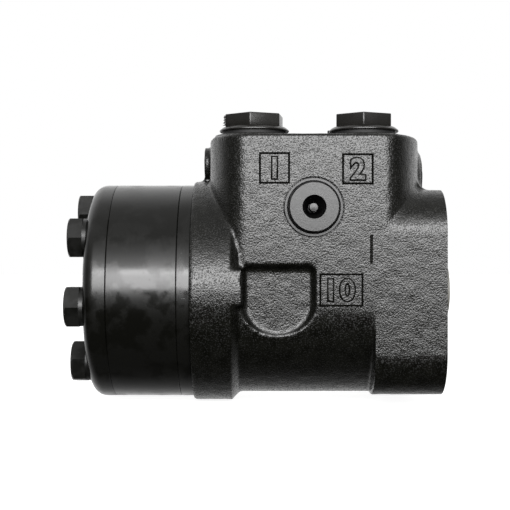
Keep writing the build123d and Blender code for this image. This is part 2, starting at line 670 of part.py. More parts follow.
def make_spool():
    shoulder = SLEEVE_FRONT
    back = HOUSING_BACK + 2 * SLEEVE_END_FLOAT
    cavity_front = PIN_X + SPOOL_CAVITY_PAST_PIN
    spool = turned(
        (back, 0), (back, SPOOL_RADIUS - SPOOL_EDGE), (back + SPOOL_EDGE, SPOOL_RADIUS),
        (shoulder, SPOOL_RADIUS), (shoulder, NECK_RADIUS),
        (SPOOL_END - 1, NECK_RADIUS), (SPOOL_END, NECK_RADIUS - 1), (SPOOL_END, 0),
    )
    spool = spool - rod(back - 1, cavity_front, SPOOL_CAVITY_DIAMETER / 2)
    root = SPLINE_PITCH_DIAMETER / 2 + SPLINE_TOOTH_HEIGHT / 2
    tip = SPLINE_PITCH_DIAMETER / 2 - SPLINE_TOOTH_HEIGHT / 2
    teeth = extrude(toothed(SPLINE_TEETH, tip, root, root_share=0.6, tip_share=0.4), SPLINE_LENGTH + 1)
    spool = spool - Pos(SPOOL_END - SPLINE_LENGTH, 0, 0) * UPRIGHT * teeth
    spool = spool - spring_slot(0.1)
    travel = radians(SPOOL_TRAVEL + TRAVEL_SPARE)
    slot_width = PIN_DIAMETER + PIN_SLOT_CLEARANCE
    slot_length = slot_width + 2 * SPOOL_RADIUS * tan(travel)
    slot = extrude(SlotOverall(slot_length, slot_width), SPOOL_DIAMETER + 2, both=True)
    spool = spool - Pos(PIN_X, 0, 0) * Rot(0, 0, 90) * slot
    half = SPOOL_GROOVE_WIDTH / 2
    for x in HOLE_ROWS[:2]:
        floor = rod(x - half - 1, x + half + 1, SPOOL_RADIUS - SPOOL_GROOVE_DEPTH)
        spool = spool - (rod(x - half, x + half, SPOOL_RADIUS + 1) - floor)
    flute_x = (HOLE_ROWS[2] + HOLE_ROWS[3]) / 2
    flute = Pos(flute_x, 0, SPOOL_RADIUS) * Box(FLUTE_LENGTH, FLUTE_WIDTH, 2 * FLUTE_DEPTH)
    for copy in around(flute, HOLES_PER_ROW, 30):
        spool = spool - copy
    return spool


def make_pin():
    reach = SLEEVE_RADIUS - SPOOL_EDGE
    return post(-reach, reach, PIN_DIAMETER / 2, PIN_X)


def leaf(y, bow=0.0):
    """One centring leaf standing along Z; bow moves its middle along Y."""
    half = SPRING_LENGTH / 2
    inner = ThreePointArc((-half, 0), (0, bow), (half, 0)) if bow else Line((-half, 0), (half, 0))
    strip = trace(inner, SPRING_LEAF)
    width = SPRING_SLOT_WIDTH - 1
    blade = extrude(strip, width)
    return Pos(SPRING_X - width / 2, y, 0) * UPRIGHT * Rot(0, 0, 90) * blade


def make_flat_springs():
    return [leaf(side * SPRING_LEAF / 2 * 1.02) for side in (-1, 1)]


def make_arched_springs():
    leaves = []
    for side in (-1, 1):
        for place in (1.53, 2.56):
            middle = SPRING_LEAF * place
            leaves.append(leaf(side * (middle + SPRING_BOW), side * SPRING_BOW))
    return leaves


def make_spring_ring():
    back = SPRING_X - SPRING_SLOT_WIDTH / 2
    front = SPRING_X + SPRING_SLOT_WIDTH / 2
    inner = SPRING_GROOVE_DIAMETER / 2 + 0.05
    return rod(back, front, inner + SPRING_RING_WALL) - rod(back - 1, front + 1, inner)


def race(back, front):
    inner = NECK_RADIUS + 0.1
    return rod(back, front, RACE_DIAMETER / 2) - rod(back - 1, front + 1, inner)


def make_needle_cage():
    front = BEARING_SHOULDER - RACE_OUTER_THICKNESS - CAGE_SIDE_GAP
    back = RACE_INNER_FRONT + CAGE_SIDE_GAP
    cage = race(back, front)
    wide = NEEDLE_DIAMETER + CAGE_WINDOW_GAP
    window = Box(2 * wide, wide, NEEDLE_LENGTH + CAGE_WINDOW_GAP)
    window = Pos((front + back) / 2, 0, needle_circle()) * window
    for copy in around(window, NEEDLE_COUNT):
        cage = cage - copy
    return cage


def needle_circle():
    return (NECK_RADIUS + RACE_DIAMETER / 2) / 2


def make_needles():
    middle = BEARING_SHOULDER - RACE_OUTER_THICKNESS - SEAT_GAP - NEEDLE_DIAMETER / 2
    low = needle_circle() - NEEDLE_LENGTH / 2
    needle = post(low, low + NEEDLE_LENGTH, NEEDLE_DIAMETER / 2, middle)
    return around(needle, NEEDLE_COUNT)


# ---- cardan shaft ----
def make_cardan():
    """The shaft is made along X with the pin's centre at the origin, then tilted to the star's centre."""
    reach = (PIN_X - STAR_MIDDLE_X) / cos(radians(CARDAN_TILT))
    fork_front = FORK_TIP_X - PIN_X
    fork_back = fork_front - FORK_LENGTH
    fork = FORK_DIAMETER / 2
    shank = CARDAN_DIAMETER / 2
    body = turned(
        (-reach - HEAD_LENGTH / 2 - 2, 0), (-reach - HEAD_LENGTH / 2 - 2, 7), (-reach, 7), (-reach, shank),
        (fork_back - 4, shank), (fork_back, fork), (fork_front - 1, fork), (fork_front, fork - 1),
        (fork_front, 0),
    )
    slot_half = PIN_DIAMETER / 2 + FORK_SLOT_GAP
    slot = Box(2 * fork_front, 2 * slot_half, 2 * fork + 2)
    slot = Pos(fork_front, 0, 0) * slot + Cylinder(slot_half, 2 * fork + 2)
    body = body - Pos(-FORK_SLOT_FLOOR, 0, 0) * slot
    teeth = toothed(HEAD_TEETH, HEAD_ROOT_RADIUS, HEAD_TIP_RADIUS)
    turn = LOBE_PHASE
    head = UPRIGHT * Rot(0, 0, turn) * extrude(teeth, HEAD_LENGTH / 2, both=True)
    crown = turned((-HEAD_LENGTH / 2 - 1, 0), (-HEAD_LENGTH / 2 - 1, HEAD_TIP_RADIUS - 2 * HEAD_CROWN),
                   (-HEAD_LENGTH / 4, HEAD_TIP_RADIUS), (HEAD_LENGTH / 4, HEAD_TIP_RADIUS),
                   (HEAD_LENGTH / 2 + 1, HEAD_TIP_RADIUS - 2 * HEAD_CROWN), (HEAD_LENGTH / 2 + 1, 0))
    body = body + Pos(-reach, 0, 0) * (head & crown)
    tilt = Rot(LOBE_PHASE - 90, 0, 0) * Rot(0, CARDAN_TILT, 0) * Rot(90 - LOBE_PHASE, 0, 0)
    return Pos(PIN_X, 0, 0) * tilt * body


def make_spacer():
    back = RING_BACK + AXIAL_GAP
    radius = HEAD_ROOT_RADIUS + SPLINE_GAP - 0.4
    return rod(back, back + SPACER_THICKNESS, radius, STAR_Y, STAR_Z)


# ---- seals ----
def make_dust_seal():
    outer = DUST_SEAL_DIAMETER / 2
    return turned(
        (-DUST_SEAL_DEPTH, NECK_BORE_RADIUS + 0.6), (-DUST_SEAL_DEPTH, outer), (-0.4, outer),
        (-0.4, NECK_BORE_RADIUS + 2.6), (-1.6, NECK_BORE_RADIUS), (-2.4, NECK_BORE_RADIUS),
        (-3.2, NECK_BORE_RADIUS + 0.6),
    )


def make_shaft_seal():
    back, front = SHAFT_SEAL_X
    outer = SHAFT_SEAL_DIAMETER / 2
    inner = NECK_BORE_RADIUS
    return turned((back, inner + 0.4), (back, outer), (front, outer), (front, inner + 0.4),
                  (front - 1, inner), (back + 1, inner))


# ---- ports and plugs ----
def port_places():
    return [(x, side * PORT_HALF_PITCH_Y) for side in (-1, 1) for x in PORT_X]


def make_port_plug(x, y, turn):
    """Moulded shipping plug: hollow stem, thin collar and hexagon."""
    seat = BLOCK_TOP - PORT_FACE_DEPTH
    collar = seat + PLUG_SEAL_HEIGHT
    hexagon = collar + PLUG_COLLAR_HEIGHT
    stem = PORT_THREAD_RADIUS - THREAD_GAP
    rim = PLUG_COLLAR_DIAMETER / 2
    plug = turned_up((0, seat - PLUG_STEM_LENGTH), (stem, seat - PLUG_STEM_LENGTH), (stem, collar),
                     (rim - PLUG_EDGE, collar), (rim, collar + PLUG_EDGE), (rim, hexagon - PLUG_EDGE),
                     (rim - PLUG_EDGE, hexagon),
                     (0, hexagon))
    corner = PLUG_HEX_FLATS / 2 / cos(radians(30))
    top = hexagon + PLUG_HEX_HEIGHT
    hexagon_plan = Rot(0, 0, turn) * RegularPolygon(PLUG_HEX_FLATS / 2, 6, major_radius=False)
    head = extrude(hexagon_plan, PLUG_HEX_HEIGHT)
    crown = turned_up((0, -1), (corner + 1, -1), (corner + 0.2, PLUG_HEX_HEIGHT - 1.0),
                      (corner - 1.6, PLUG_HEX_HEIGHT), (0, PLUG_HEX_HEIGHT))
    plug = plug + Pos(0, 0, hexagon) * (head & crown)
    hollow = post(seat - PLUG_STEM_LENGTH - 1, top - 3, stem - PLUG_WALL)
    return Pos(x, y, 0) * (plug - hollow)


def make_port_seals():
    seat = BLOCK_TOP - PORT_FACE_DEPTH
    outer = PLUG_SEAL_DIAMETER / 2
    seals = []
    for x, y in port_places():
        ring = post(seat, seat + PLUG_SEAL_HEIGHT, outer, x, y)
        seals.append(ring - post(seat - 1, seat + 4, PORT_THREAD_RADIUS + 0.2, x, y))
    return seals


def make_ls_plug():
    """Round shipping plug with a hollow centre."""
    face_y = BODY_HALF_WIDTH - LS_FACE_DEPTH
    stem = LS_THREAD_RADIUS - THREAD_GAP
    head = LS_HEAD_DIAMETER / 2
    top = LS_HEAD_HEIGHT
    plug = turned_up((0, -10), (stem, -10), (stem, 0), (head + 0.9, 0), (head + 0.9, 0.8), (head, top - 1.0),
                     (head - 0.5, top), (LS_HOLLOW_DIAMETER / 2, top), (LS_HOLLOW_DIAMETER / 2, 0.6),
                     (LS_HOLLOW_DIAMETER / 2 - 1.2, top - LS_HOLLOW_DEPTH), (0, top - LS_HOLLOW_DEPTH))
    return Pos(LS_X, -face_y, LS_Z) * Rot(90, 0, 0) * plug


# ---- check valve ----
def check_bush_z():
    """Underside of the bush that is the check ball's upper seat."""
    return CHECK_STOP_Z + CHECK_STOP_DIAMETER / 2 + CHECK_BALL_DIAMETER + CHECK_BALL_LIFT + 2 * SEAT_GAP


def make_check_ball():
    x, y = PUMP_PORT
    centre = CHECK_STOP_Z + CHECK_STOP_DIAMETER / 2 + SEAT_GAP + CHECK_BALL_DIAMETER / 2
    return Pos(x, y, centre) * Sphere(CHECK_BALL_DIAMETER / 2)


def make_check_bush():
    x, y = PUMP_PORT
    bottom = check_bush_z() - CHECK_BUSH_SEAT
    bush = post(bottom, bottom + CHECK_BUSH_HEIGHT, PORT_CORE_RADIUS - 0.02, x, y)
    bush = bush - post(bottom - 1, bottom + CHECK_BUSH_HEIGHT + 1, CHECK_BUSH_BORE, x, y)
    ball = Pos(x, y, check_bush_z() - CHECK_BALL_DIAMETER / 2) * Sphere(CHECK_BALL_DIAMETER / 2 + 0.02)
    return bush - ball


def make_check_stop():
    x, y = PUMP_PORT
    reach = PORT_CORE_RADIUS - 0.02
    return rod(x - reach + 0.4, x + reach - 0.4, CHECK_STOP_DIAMETER / 2, y, CHECK_STOP_Z)


# ---- relief valve ----
def relief_seal_groove():
    """Groove of the plug's O-ring as (back, front, floor radius)."""
    back = RELIEF_PLUG_BACK + 2
    return back, back + RELIEF_SEAL_SECTION + 0.2, RELIEF_BORE_RADIUS - RELIEF_SEAL_SECTION


def make_relief_plug():
    shank = RELIEF_BORE_RADIUS - THREAD_GAP
    groove_back, groove_front, floor = relief_seal_groove()
    front = RELIEF_PLUG_FRONT
    plug = turned(
        (RELIEF_PLUG_BACK, 0), (RELIEF_PLUG_BACK, shank), (groove_back, shank), (groove_back, floor),
        (groove_front, floor), (groove_front, shank), (front - PLUG_EDGE, shank),
        (front, shank - PLUG_EDGE), (front, 0),
    )
    plug = Pos(0, 0, FRONT_BOSS_Z) * plug
    return plug - hexagon_bar(front - 5, front + 1, HEX_KEY_FLATS, 0, 0, FRONT_BOSS_Z)


def make_relief_plug_seal():
    groove_back, groove_front, floor = relief_seal_groove()
    back, front = groove_back + 0.1, groove_front - 0.1
    ring = rod(back, front, RELIEF_BORE_RADIUS - SEAT_GAP, 0, FRONT_BOSS_Z)
    return ring - rod(back - 1, front + 1, floor + SEAT_GAP, 0, FRONT_BOSS_Z)


def relief_screw_back():
    return RELIEF_PLUG_BACK - 1 - RELIEF_SCREW_LENGTH


def make_relief_screw():
    back = relief_screw_back()
    front = back + RELIEF_SCREW_LENGTH
    screw = rod(back, front, RELIEF_BORE_RADIUS - THREAD_GAP, 0, FRONT_BOSS_Z)
    return screw - hexagon_bar(front - 4, front + 1, HEX_KEY_FLATS, 0, 0, FRONT_BOSS_Z)


def make_relief_poppet():
    seat = RELIEF_BOTTOM + SEAT_GAP
    guide = RELIEF_BORE_RADIUS - 0.1
    poppet = turned((seat, 0), (seat, RELIEF_SEAT_RADIUS + 1.2), (seat + 2.5, guide),
                    (seat + RELIEF_POPPET_LENGTH, guide), (seat + RELIEF_POPPET_LENGTH, 0))
    return Pos(0, 0, FRONT_BOSS_Z) * poppet


def coil(length, radius, wire):
    """Compression spring along Z from 0 to length, its wire kept inside both ends."""
    rise = length - wire
    path = Helix(pitch=rise / SPRING_COILS, height=rise, radius=radius)
    section = Plane(origin=path @ 0, z_dir=path % 0) * RegularPolygon(wire / 2, 6)
    return Pos(0, 0, wire / 2) * sweep(section, path=path, is_frenet=True)


def make_relief_spring():
    start = RELIEF_BOTTOM + SEAT_GAP + RELIEF_POPPET_LENGTH + SEAT_GAP
    length = relief_screw_back() - start - SEAT_GAP
    spring = coil(length, RELIEF_BORE_RADIUS - 2, SPRING_WIRE * 1.4)
    return Pos(start, 0, FRONT_BOSS_Z) * Rot(0, 90, 0) * spring


# ---- shock valves ----
def shock_places():
    return [(SHOCK_X, side * SHOCK_HALF_PITCH_Y) for side in (-1, 1)]


def shock_ball_z():
    """Centre height of a shock ball on the edge of its seat."""
    ball = SHOCK_BALL_DIAMETER / 2 + SEAT_GAP
    return SHOCK_BOTTOM + (ball ** 2 - SHOCK_SEAT_RADIUS ** 2) ** 0.5


def shock_screw_bottom():
    return BLOCK_TOP - SHOCK_SCREW_DEPTH - SHOCK_SCREW_LENGTH


def make_shock_ball(x, y):
    return Pos(x, y, shock_ball_z()) * Sphere(SHOCK_BALL_DIAMETER / 2)


def make_shock_screw(x, y):
    bottom = shock_screw_bottom()
    screw = post(bottom, bottom + SHOCK_SCREW_LENGTH, SHOCK_BORE_RADIUS - THREAD_GAP, x, y)
    key = extrude(RegularPolygon(SHOCK_KEY_FLATS / 2, 6, major_radius=False), 5)
    return screw - Pos(x, y, bottom + SHOCK_SCREW_LENGTH - 4) * key


def make_shock_spring(x, y):
    start = shock_ball_z() + SHOCK_BALL_DIAMETER / 2 + SEAT_GAP
    length = shock_screw_bottom() - start - SEAT_GAP
    return Pos(x, y, start) * coil(length, SHOCK_BORE_RADIUS - 1.8, SPRING_WIRE)


# ---- suction valves ----
def make_suction_ball(index):
    y, z = on_circle(BOLT_CIRCLE_RADIUS, BOLT_ANGLES[index])
    x = suction_seat_x() - SUCTION_BALL_DIAMETER / 2 + SUCTION_SEAT_DEPTH
    return Pos(x, y, z) * Sphere(SUCTION_BALL_DIAMETER / 2)


def make_suction_pins():
    pins = []
    for index in SUCTION_BOLTS:
        y, z = on_circle(BOLT_CIRCLE_RADIUS, BOLT_ANGLES[index])
        pins.append(rod(BOLT_TIP, BOLT_TIP + SUCTION_PIN_LENGTH, SUCTION_PIN_DIAMETER / 2, y, z))
    return pins


# ---- plastic cap in the spline ----
def make_cap():
    face = CAP_FACE_X
    back = face - CAP_FLANGE_THICKNESS
    mouth = SPLINE_PITCH_DIAMETER / 2 - SPLINE_TOOTH_HEIGHT / 2 - CAP_FIT_GAP
    tip = face - CAP_LENGTH
    return turned(
        (tip, 0),
        (tip, CAP_TIP_RADIUS),
        (SPOOL_END, mouth),
        (back, mouth + CAP_FLARE),
        (back, CAP_FLANGE_RADIUS),
        (face, CAP_FLANGE_RADIUS),
        (face, mouth + CAP_FLARE - CAP_WALL),
        (tip + CAP_WALL, CAP_TIP_RADIUS - CAP_WALL),
        (tip + CAP_WALL, 0),
    )


def make_gallery_plug():
    back = REAR_BOSS_FACE + GALLERY_PLUG_RECESS
    front = REAR_BOSS_FACE + GALLERY_PLUG_DEPTH
    return rod(back, front, GALLERY_PLUG_DIAMETER / 2 - GALLERY_PLUG_GAP, 0, REAR_BOSS_Z)


def main():
    os.makedirs("parts", exist_ok=True)
    parts = {
        "housing": make_housing(),
        "distributor_plate": make_plate(),
        "gerotor_ring": make_ring(),
        "gerotor_star": make_star(),
        "end_cover": make_cover(),
        "cover_bolts": make_bolts(),
        "cover_washers": make_washers(),
        "housing_o_ring": make_o_ring(HOUSING_BACK),
        "plate_o_ring": make_o_ring(PLATE_BACK),
        "ring_o_ring": make_o_ring(RING_BACK),
        "sleeve": make_sleeve(),
        "spool": make_spool(),
        "cross_pin": make_pin(),
        "flat_springs": make_flat_springs(),
        "arched_springs": make_arched_springs(),
        "spring_ring": make_spring_ring(),
        "bearing_outer_race": race(BEARING_SHOULDER - RACE_OUTER_THICKNESS, BEARING_SHOULDER),
        "bearing_inner_race": race(SLEEVE_FRONT, RACE_INNER_FRONT),
        "needle_cage": make_needle_cage(),
        "bearing_needles": make_needles(),
        "cardan_shaft": make_cardan(),
        "spacer": make_spacer(),
        "dust_seal": make_dust_seal(),
        "shaft_seal": make_shaft_seal(),
        "port_plug_seals": make_port_seals(),
        "ls_plug": make_ls_plug(),
        "check_ball": make_check_ball(),
        "check_seat_bush": make_check_bush(),
        "check_ball_stop": make_check_stop(),
        "relief_plug": make_relief_plug(),
        "relief_plug_seal": make_relief_plug_seal(),
        "relief_screw": make_relief_screw(),
        "relief_spring": make_relief_spring(),
        "relief_poppet": make_relief_poppet(),
        "suction_pins": make_suction_pins(),
        "gallery_plug": make_gallery_plug(),
        "spline_cap": make_cap(),
    }
    plug_names = ("right_port_plug", "left_port_plug", "tank_port_plug", "pump_port_plug")
    for name, (x, y), turn in zip(plug_names, port_places(), PLUG_TURNS):
        parts[name] = make_port_plug(x, y, turn)
    for side, (x, y) in zip(("near", "far"), shock_places()):
        parts[f"{side}_shock_ball"] = make_shock_ball(x, y)
        parts[f"{side}_shock_spring"] = make_shock_spring(x, y)
        parts[f"{side}_shock_screw"] = make_shock_screw(x, y)
    for side, index in zip(("lower", "upper"), SUCTION_BOLTS):
        parts[f"{side}_suction_ball"] = make_suction_ball(index)
    for name, shape in parts.items():
        save(shape, name)


main()
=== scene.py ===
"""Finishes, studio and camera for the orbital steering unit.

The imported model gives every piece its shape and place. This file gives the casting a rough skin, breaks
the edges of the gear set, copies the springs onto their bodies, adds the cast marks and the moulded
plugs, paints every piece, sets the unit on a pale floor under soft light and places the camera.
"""
import json
import math

import bpy
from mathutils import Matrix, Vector

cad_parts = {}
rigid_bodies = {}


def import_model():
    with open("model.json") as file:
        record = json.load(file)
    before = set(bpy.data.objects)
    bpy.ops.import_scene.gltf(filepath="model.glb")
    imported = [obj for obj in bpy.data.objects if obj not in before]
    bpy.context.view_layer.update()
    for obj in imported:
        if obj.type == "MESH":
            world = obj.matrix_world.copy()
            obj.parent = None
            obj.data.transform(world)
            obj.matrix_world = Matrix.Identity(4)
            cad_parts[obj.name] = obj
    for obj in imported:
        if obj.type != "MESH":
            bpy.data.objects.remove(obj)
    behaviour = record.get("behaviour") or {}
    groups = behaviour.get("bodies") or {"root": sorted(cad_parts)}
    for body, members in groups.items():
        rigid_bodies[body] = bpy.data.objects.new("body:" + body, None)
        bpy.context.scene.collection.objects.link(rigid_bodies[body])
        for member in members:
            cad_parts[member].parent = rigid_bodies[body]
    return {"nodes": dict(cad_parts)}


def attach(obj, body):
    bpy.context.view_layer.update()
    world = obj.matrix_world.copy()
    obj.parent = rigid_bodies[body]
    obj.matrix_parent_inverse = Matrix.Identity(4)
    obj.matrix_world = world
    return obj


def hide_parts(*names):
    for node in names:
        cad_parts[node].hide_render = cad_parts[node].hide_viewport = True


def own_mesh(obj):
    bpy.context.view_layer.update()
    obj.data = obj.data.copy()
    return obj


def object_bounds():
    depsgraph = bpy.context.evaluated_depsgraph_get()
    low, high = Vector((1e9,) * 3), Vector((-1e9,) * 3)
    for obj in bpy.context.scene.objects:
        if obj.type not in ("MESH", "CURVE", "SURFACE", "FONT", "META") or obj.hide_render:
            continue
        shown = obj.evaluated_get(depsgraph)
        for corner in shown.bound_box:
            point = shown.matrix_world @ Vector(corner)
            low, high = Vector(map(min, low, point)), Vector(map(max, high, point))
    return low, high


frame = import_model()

bl_info = {
    "name": "Orbital steering unit",
    "version": (1, 0, 0),
    "blender": (4, 5, 0),
    "location": "3D View > Sidebar > Steering unit",
    "description": "Cast skin, plugs, springs, finishes and studio of an orbital steering unit",
    "category": "Object",
}

MM = 0.001
CAD_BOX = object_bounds()

# cast marks, in mm: number, middle along X and Z, frame's width and height
BLOCK_FACE_Y = -46.0
CAST_MARKS = (
    ("1", -73.8, 53.6, 12.4, 12.6),
    ("2", -38.3, 53.2, 12.6, 12.4),
    ("10", -45.3, 1.6, 17.9, 13.3),
)
NUMBER_SIZE = 12.4

# port plugs, in mm: middle along X and Y, how far it is screwed down, and the angle of one corner of
# the hexagon in degrees
PORT_PLUGS = (
    ("right_port_plug", -82.4, -24.0, 0.0, -97.75),
    ("left_port_plug", -33.6, -24.0, 0.0, -95.7),
    ("tank_port_plug", -82.4, 24.0, 0.3, -84.0),
    ("pump_port_plug", -33.6, 24.0, 1.4, -102.0),
)
COLLAR_STATIONS = (
    (9.2, 58.0), (9.2, 71.2), (15.2, 71.2), (15.5, 71.5), (15.45, 71.9), (14.9, 72.4), (14.1, 73.0),
    (13.2, 73.4), (11.0, 73.5),
)
HEX_FLATS = 24.0
HEX_FOOT = 73.0
HEX_TOP = 78.75
HEX_EDGE = 0.4

# torn flash on one plug, in mm: a fin of columns and rows whose reach and lean waver along its height
FLASH_HEIGHT = 4.4
FLASH_REACH = 1.3
FLASH_COLUMNS = 4
FLASH_ROWS = 12
FLASH_THICKNESS = 0.25
FLASH_SINK = 0.4
FLASH_LEAN = 0.15
FLASH_LEAN_PITCH = 3.7
FLASH_MEAN_SHARE = 0.75
FLASH_WAVES = ((5.1, 0.0, 0.30), (11.7, 1.0, 0.25))   # pitch, phase and share of the reach
FLASH_TURN = -0.2                                     # radians from the corner's own direction
FLASH_CORNER = -60                                    # degrees from the plug's first corner
SAME_PLACE = 0.01

# the casting, in mm
HOUSING_BACK = -109.8
BLOCK_TOP = 69.4
PORT_X = (-82.4, -33.6)
PORT_Y = 24.0
SHOCK_X = -67.0
SHOCK_Y = 8.0
FRONT_BOSS_FACE = -5.2
FRONT_BOSS_Z = 53.2
REAR_BOSS_FACE = -105.6
REAR_BOSS_Z = 59.6
LS_SEAT_RADIUS = 13.2
LS_SEAT_DEPTH = 2.8
COLUMN_CIRCLE_DIAMETER = 82.5
COLUMN_HOLE_AT = COLUMN_CIRCLE_DIAMETER / 2 * math.cos(math.radians(45))
REAR_FLANGE_FRONT = -94.0
LOWER_SHARE = 0.986
CREASE = (-32.5, 12.8, 25.2, 0.65)
RIM_RADIUS = 48.0              # edges further out than this are outer rims of the gear set
JOINT_EDGE = 0.3
SPARE = 2.0
VOXEL = 0.9
SOFTENING = 2
LUMP_SIZE = 4.0
LUMP_HEIGHT = 0.15
NUMBER_BOLDNESS = 0.2
NUMBER_EDGE = 0.75
NUMBER_CORE = 0.1
NUMBER_SPACING = 1.15
RIDGE_WIDTH = 1.1
RIDGE_HEIGHT = 0.9
RIDGE_SINK = 0.15

# bars that close the bores before the casting is remeshed, in mm
FILLER_SHORTFALL = 0.4         # they end this far inside the faces that are pushed out by SPARE
SPOOL_FILLER_RADIUS = 24.0
PORT_FILLER_RADIUS = 17.2
PORT_FILLER_FOOT = 50
SHOCK_FILLER_RADIUS = 5.6
SHOCK_FILLER_FOOT = 36
LS_FILLER_RADIUS = 13.4
LS_FILLER_END = -30
RELIEF_FILLER_RADIUS = 7.2
RELIEF_FILLER_END = -46
GALLERY_FILLER_RADIUS = 4.0
GALLERY_FILLER_DEPTH = 9
COLUMN_FILLER_RADIUS = 4.6
COLUMN_FILLER_END = -20

# the machined openings, in mm
NECK_RADIUS = 14.46
NECK_END = -40
SEAL_BORE_RADIUS = 20.0
SEAL_BORE_END = -6.2
SPOOL_BORE_RADIUS = 22.02
SPOOL_BORE_FRONT = -16
LS_THREAD_RADIUS = 5.9
LS_THREAD_DEPTH = 13
RELIEF_BORE_RADIUS = 7.0
RELIEF_BORE_END = -45.2
GALLERY_RADIUS = 3.5
GALLERY_DEPTH = 6
PORT_THREAD_RADIUS = 9.32
PORT_THREAD_DEPTH = 16
PORT_FACE_RADIUS = 16.8
PORT_FACE_DEPTH = 0.4
SHOCK_BORE_RADIUS = 5.0
SHOCK_BORE_DEPTH = 30
COLUMN_BORE_RADIUS = 4.25
COLUMN_BORE_END = -18
FINE = 96                      # sides of the round bars and pieces that show most

# load sensing plug, in mm: radius and height above its seat
LS_PLUG_PLACE = (-57.0, -44.8, 36.9)
LS_PLUG_STATIONS = (
    (5.6, -10.0), (5.6, 0.0), (12.3, 0.0), (12.6, 0.3), (12.6, 0.9), (12.4, 1.15), (11.5, 1.15),
    (11.2, 0.5), (10.9, 0.4), (10.85, 4.0), (10.7, 4.8), (10.3, 5.2), (5.1, 5.2), (5.0, 5.1),
    (4.9, -1.0), (2.0, -9.0), (1.85, -9.0), (1.85, -0.3), (1.7, 0.0), (0.2, 0.1),
)

# springs: node, body it rides on, joint, axis it shortens along, and how far in mm;
# 0 is a leaf that flattens about the unit's axis
SPRINGS = (
    ("relief_spring", "housing", "relief_lift", "X", 1.5),
    ("near_shock_spring", "housing", "near_shock_lift", "Z", 1.0),
    ("far_shock_spring", "housing", "far_shock_lift", "Z", 1.0),
    ("arched_springs", "sleeve", "spool_deflection", "Z", 0.0),
)

# the surroundings' glow: degrees above the near horizon, round the unit's long axis
AROUND = (
    (-180, 1.0), (-155, 0.85), (-126, 0.30), (-101, 0.04), (-22, 0.04), (-5, 0.35), (50, 0.45),
    (101, 0.50), (126, 1.0), (180, 1.0),
)
# share of the front glow that is added above the front light
ABOVE_FRONT = ((0.0, 0.0), (17.0, 0.0), (20.0, 1.0), (30.0, 0.55), (42.0, 0.22), (58.0, 0.0))

FRONT_LIGHT_AT = (-0.08, -1.60, 0.385)
FRONT_LIGHT_TARGET = (-0.08, 0, 0.385)
FRONT_LIGHT_WIDTH = 2.0
FRONT_LIGHT_HEIGHT = 0.63
FLOOR_SIZE = 6.0
FLOOR_DROP = 0.05              # mm below the lowest point of the unit

# finishes: bump depth in mm, refraction, display levels
CAST_BUMP = 0.13
PAINT_IOR = 1.5
CAP_LEVELS = (112, 110, 104)
RUBBER_LEVELS = (16, 16, 16)
PLATED_LEVEL = 120
SPRING_LEVEL = 110


# ---------------------------------------------------------------- shader maths

def linear(value):
    """One display channel, 0 to 255, as scene-linear light."""
    share = value / 255
    if share <= 0.04045:
        return share / 12.92
    return ((share + 0.055) / 1.055) ** 2.4


def grey(red, green=None, blue=None):
    """A display colour as linear red, green, blue and alpha."""
    green = red if green is None else green
    blue = red if blue is None else blue
    return (linear(red), linear(green), linear(blue), 1.0)


class Wire:
    """One node's output. Python's operators on it add Math nodes."""

    def __init__(self, graph, socket):
        self.graph = graph
        self.socket = socket

    def maths(self, operation, *values):
        inputs = {place: value for place, value in enumerate(values)}
        return self.graph.add("ShaderNodeMath", {"operation": operation}, inputs).out()

    def __add__(self, other):
        return self.maths("ADD", self, other)

    def __radd__(self, other):
        return self.maths("ADD", other, self)

    def __sub__(self, other):
        return self.maths("SUBTRACT", self, other)

    def __rsub__(self, other):
        return self.maths("SUBTRACT", other, self)

    def __mul__(self, other):
        return self.maths("MULTIPLY", self, other)

    def __rmul__(self, other):
        return self.maths("MULTIPLY", other, self)

    def __truediv__(self, other):
        return self.maths("DIVIDE", self, other)

    def __rtruediv__(self, other):
        return self.maths("DIVIDE", other, self)


class Placed:
    """One node, whose outputs are taken by name or place."""

    def __init__(self, graph, node):
        self.graph = graph
        self.node = node

    def out(self, name=0):
        return Wire(self.graph, self.node.outputs[name])


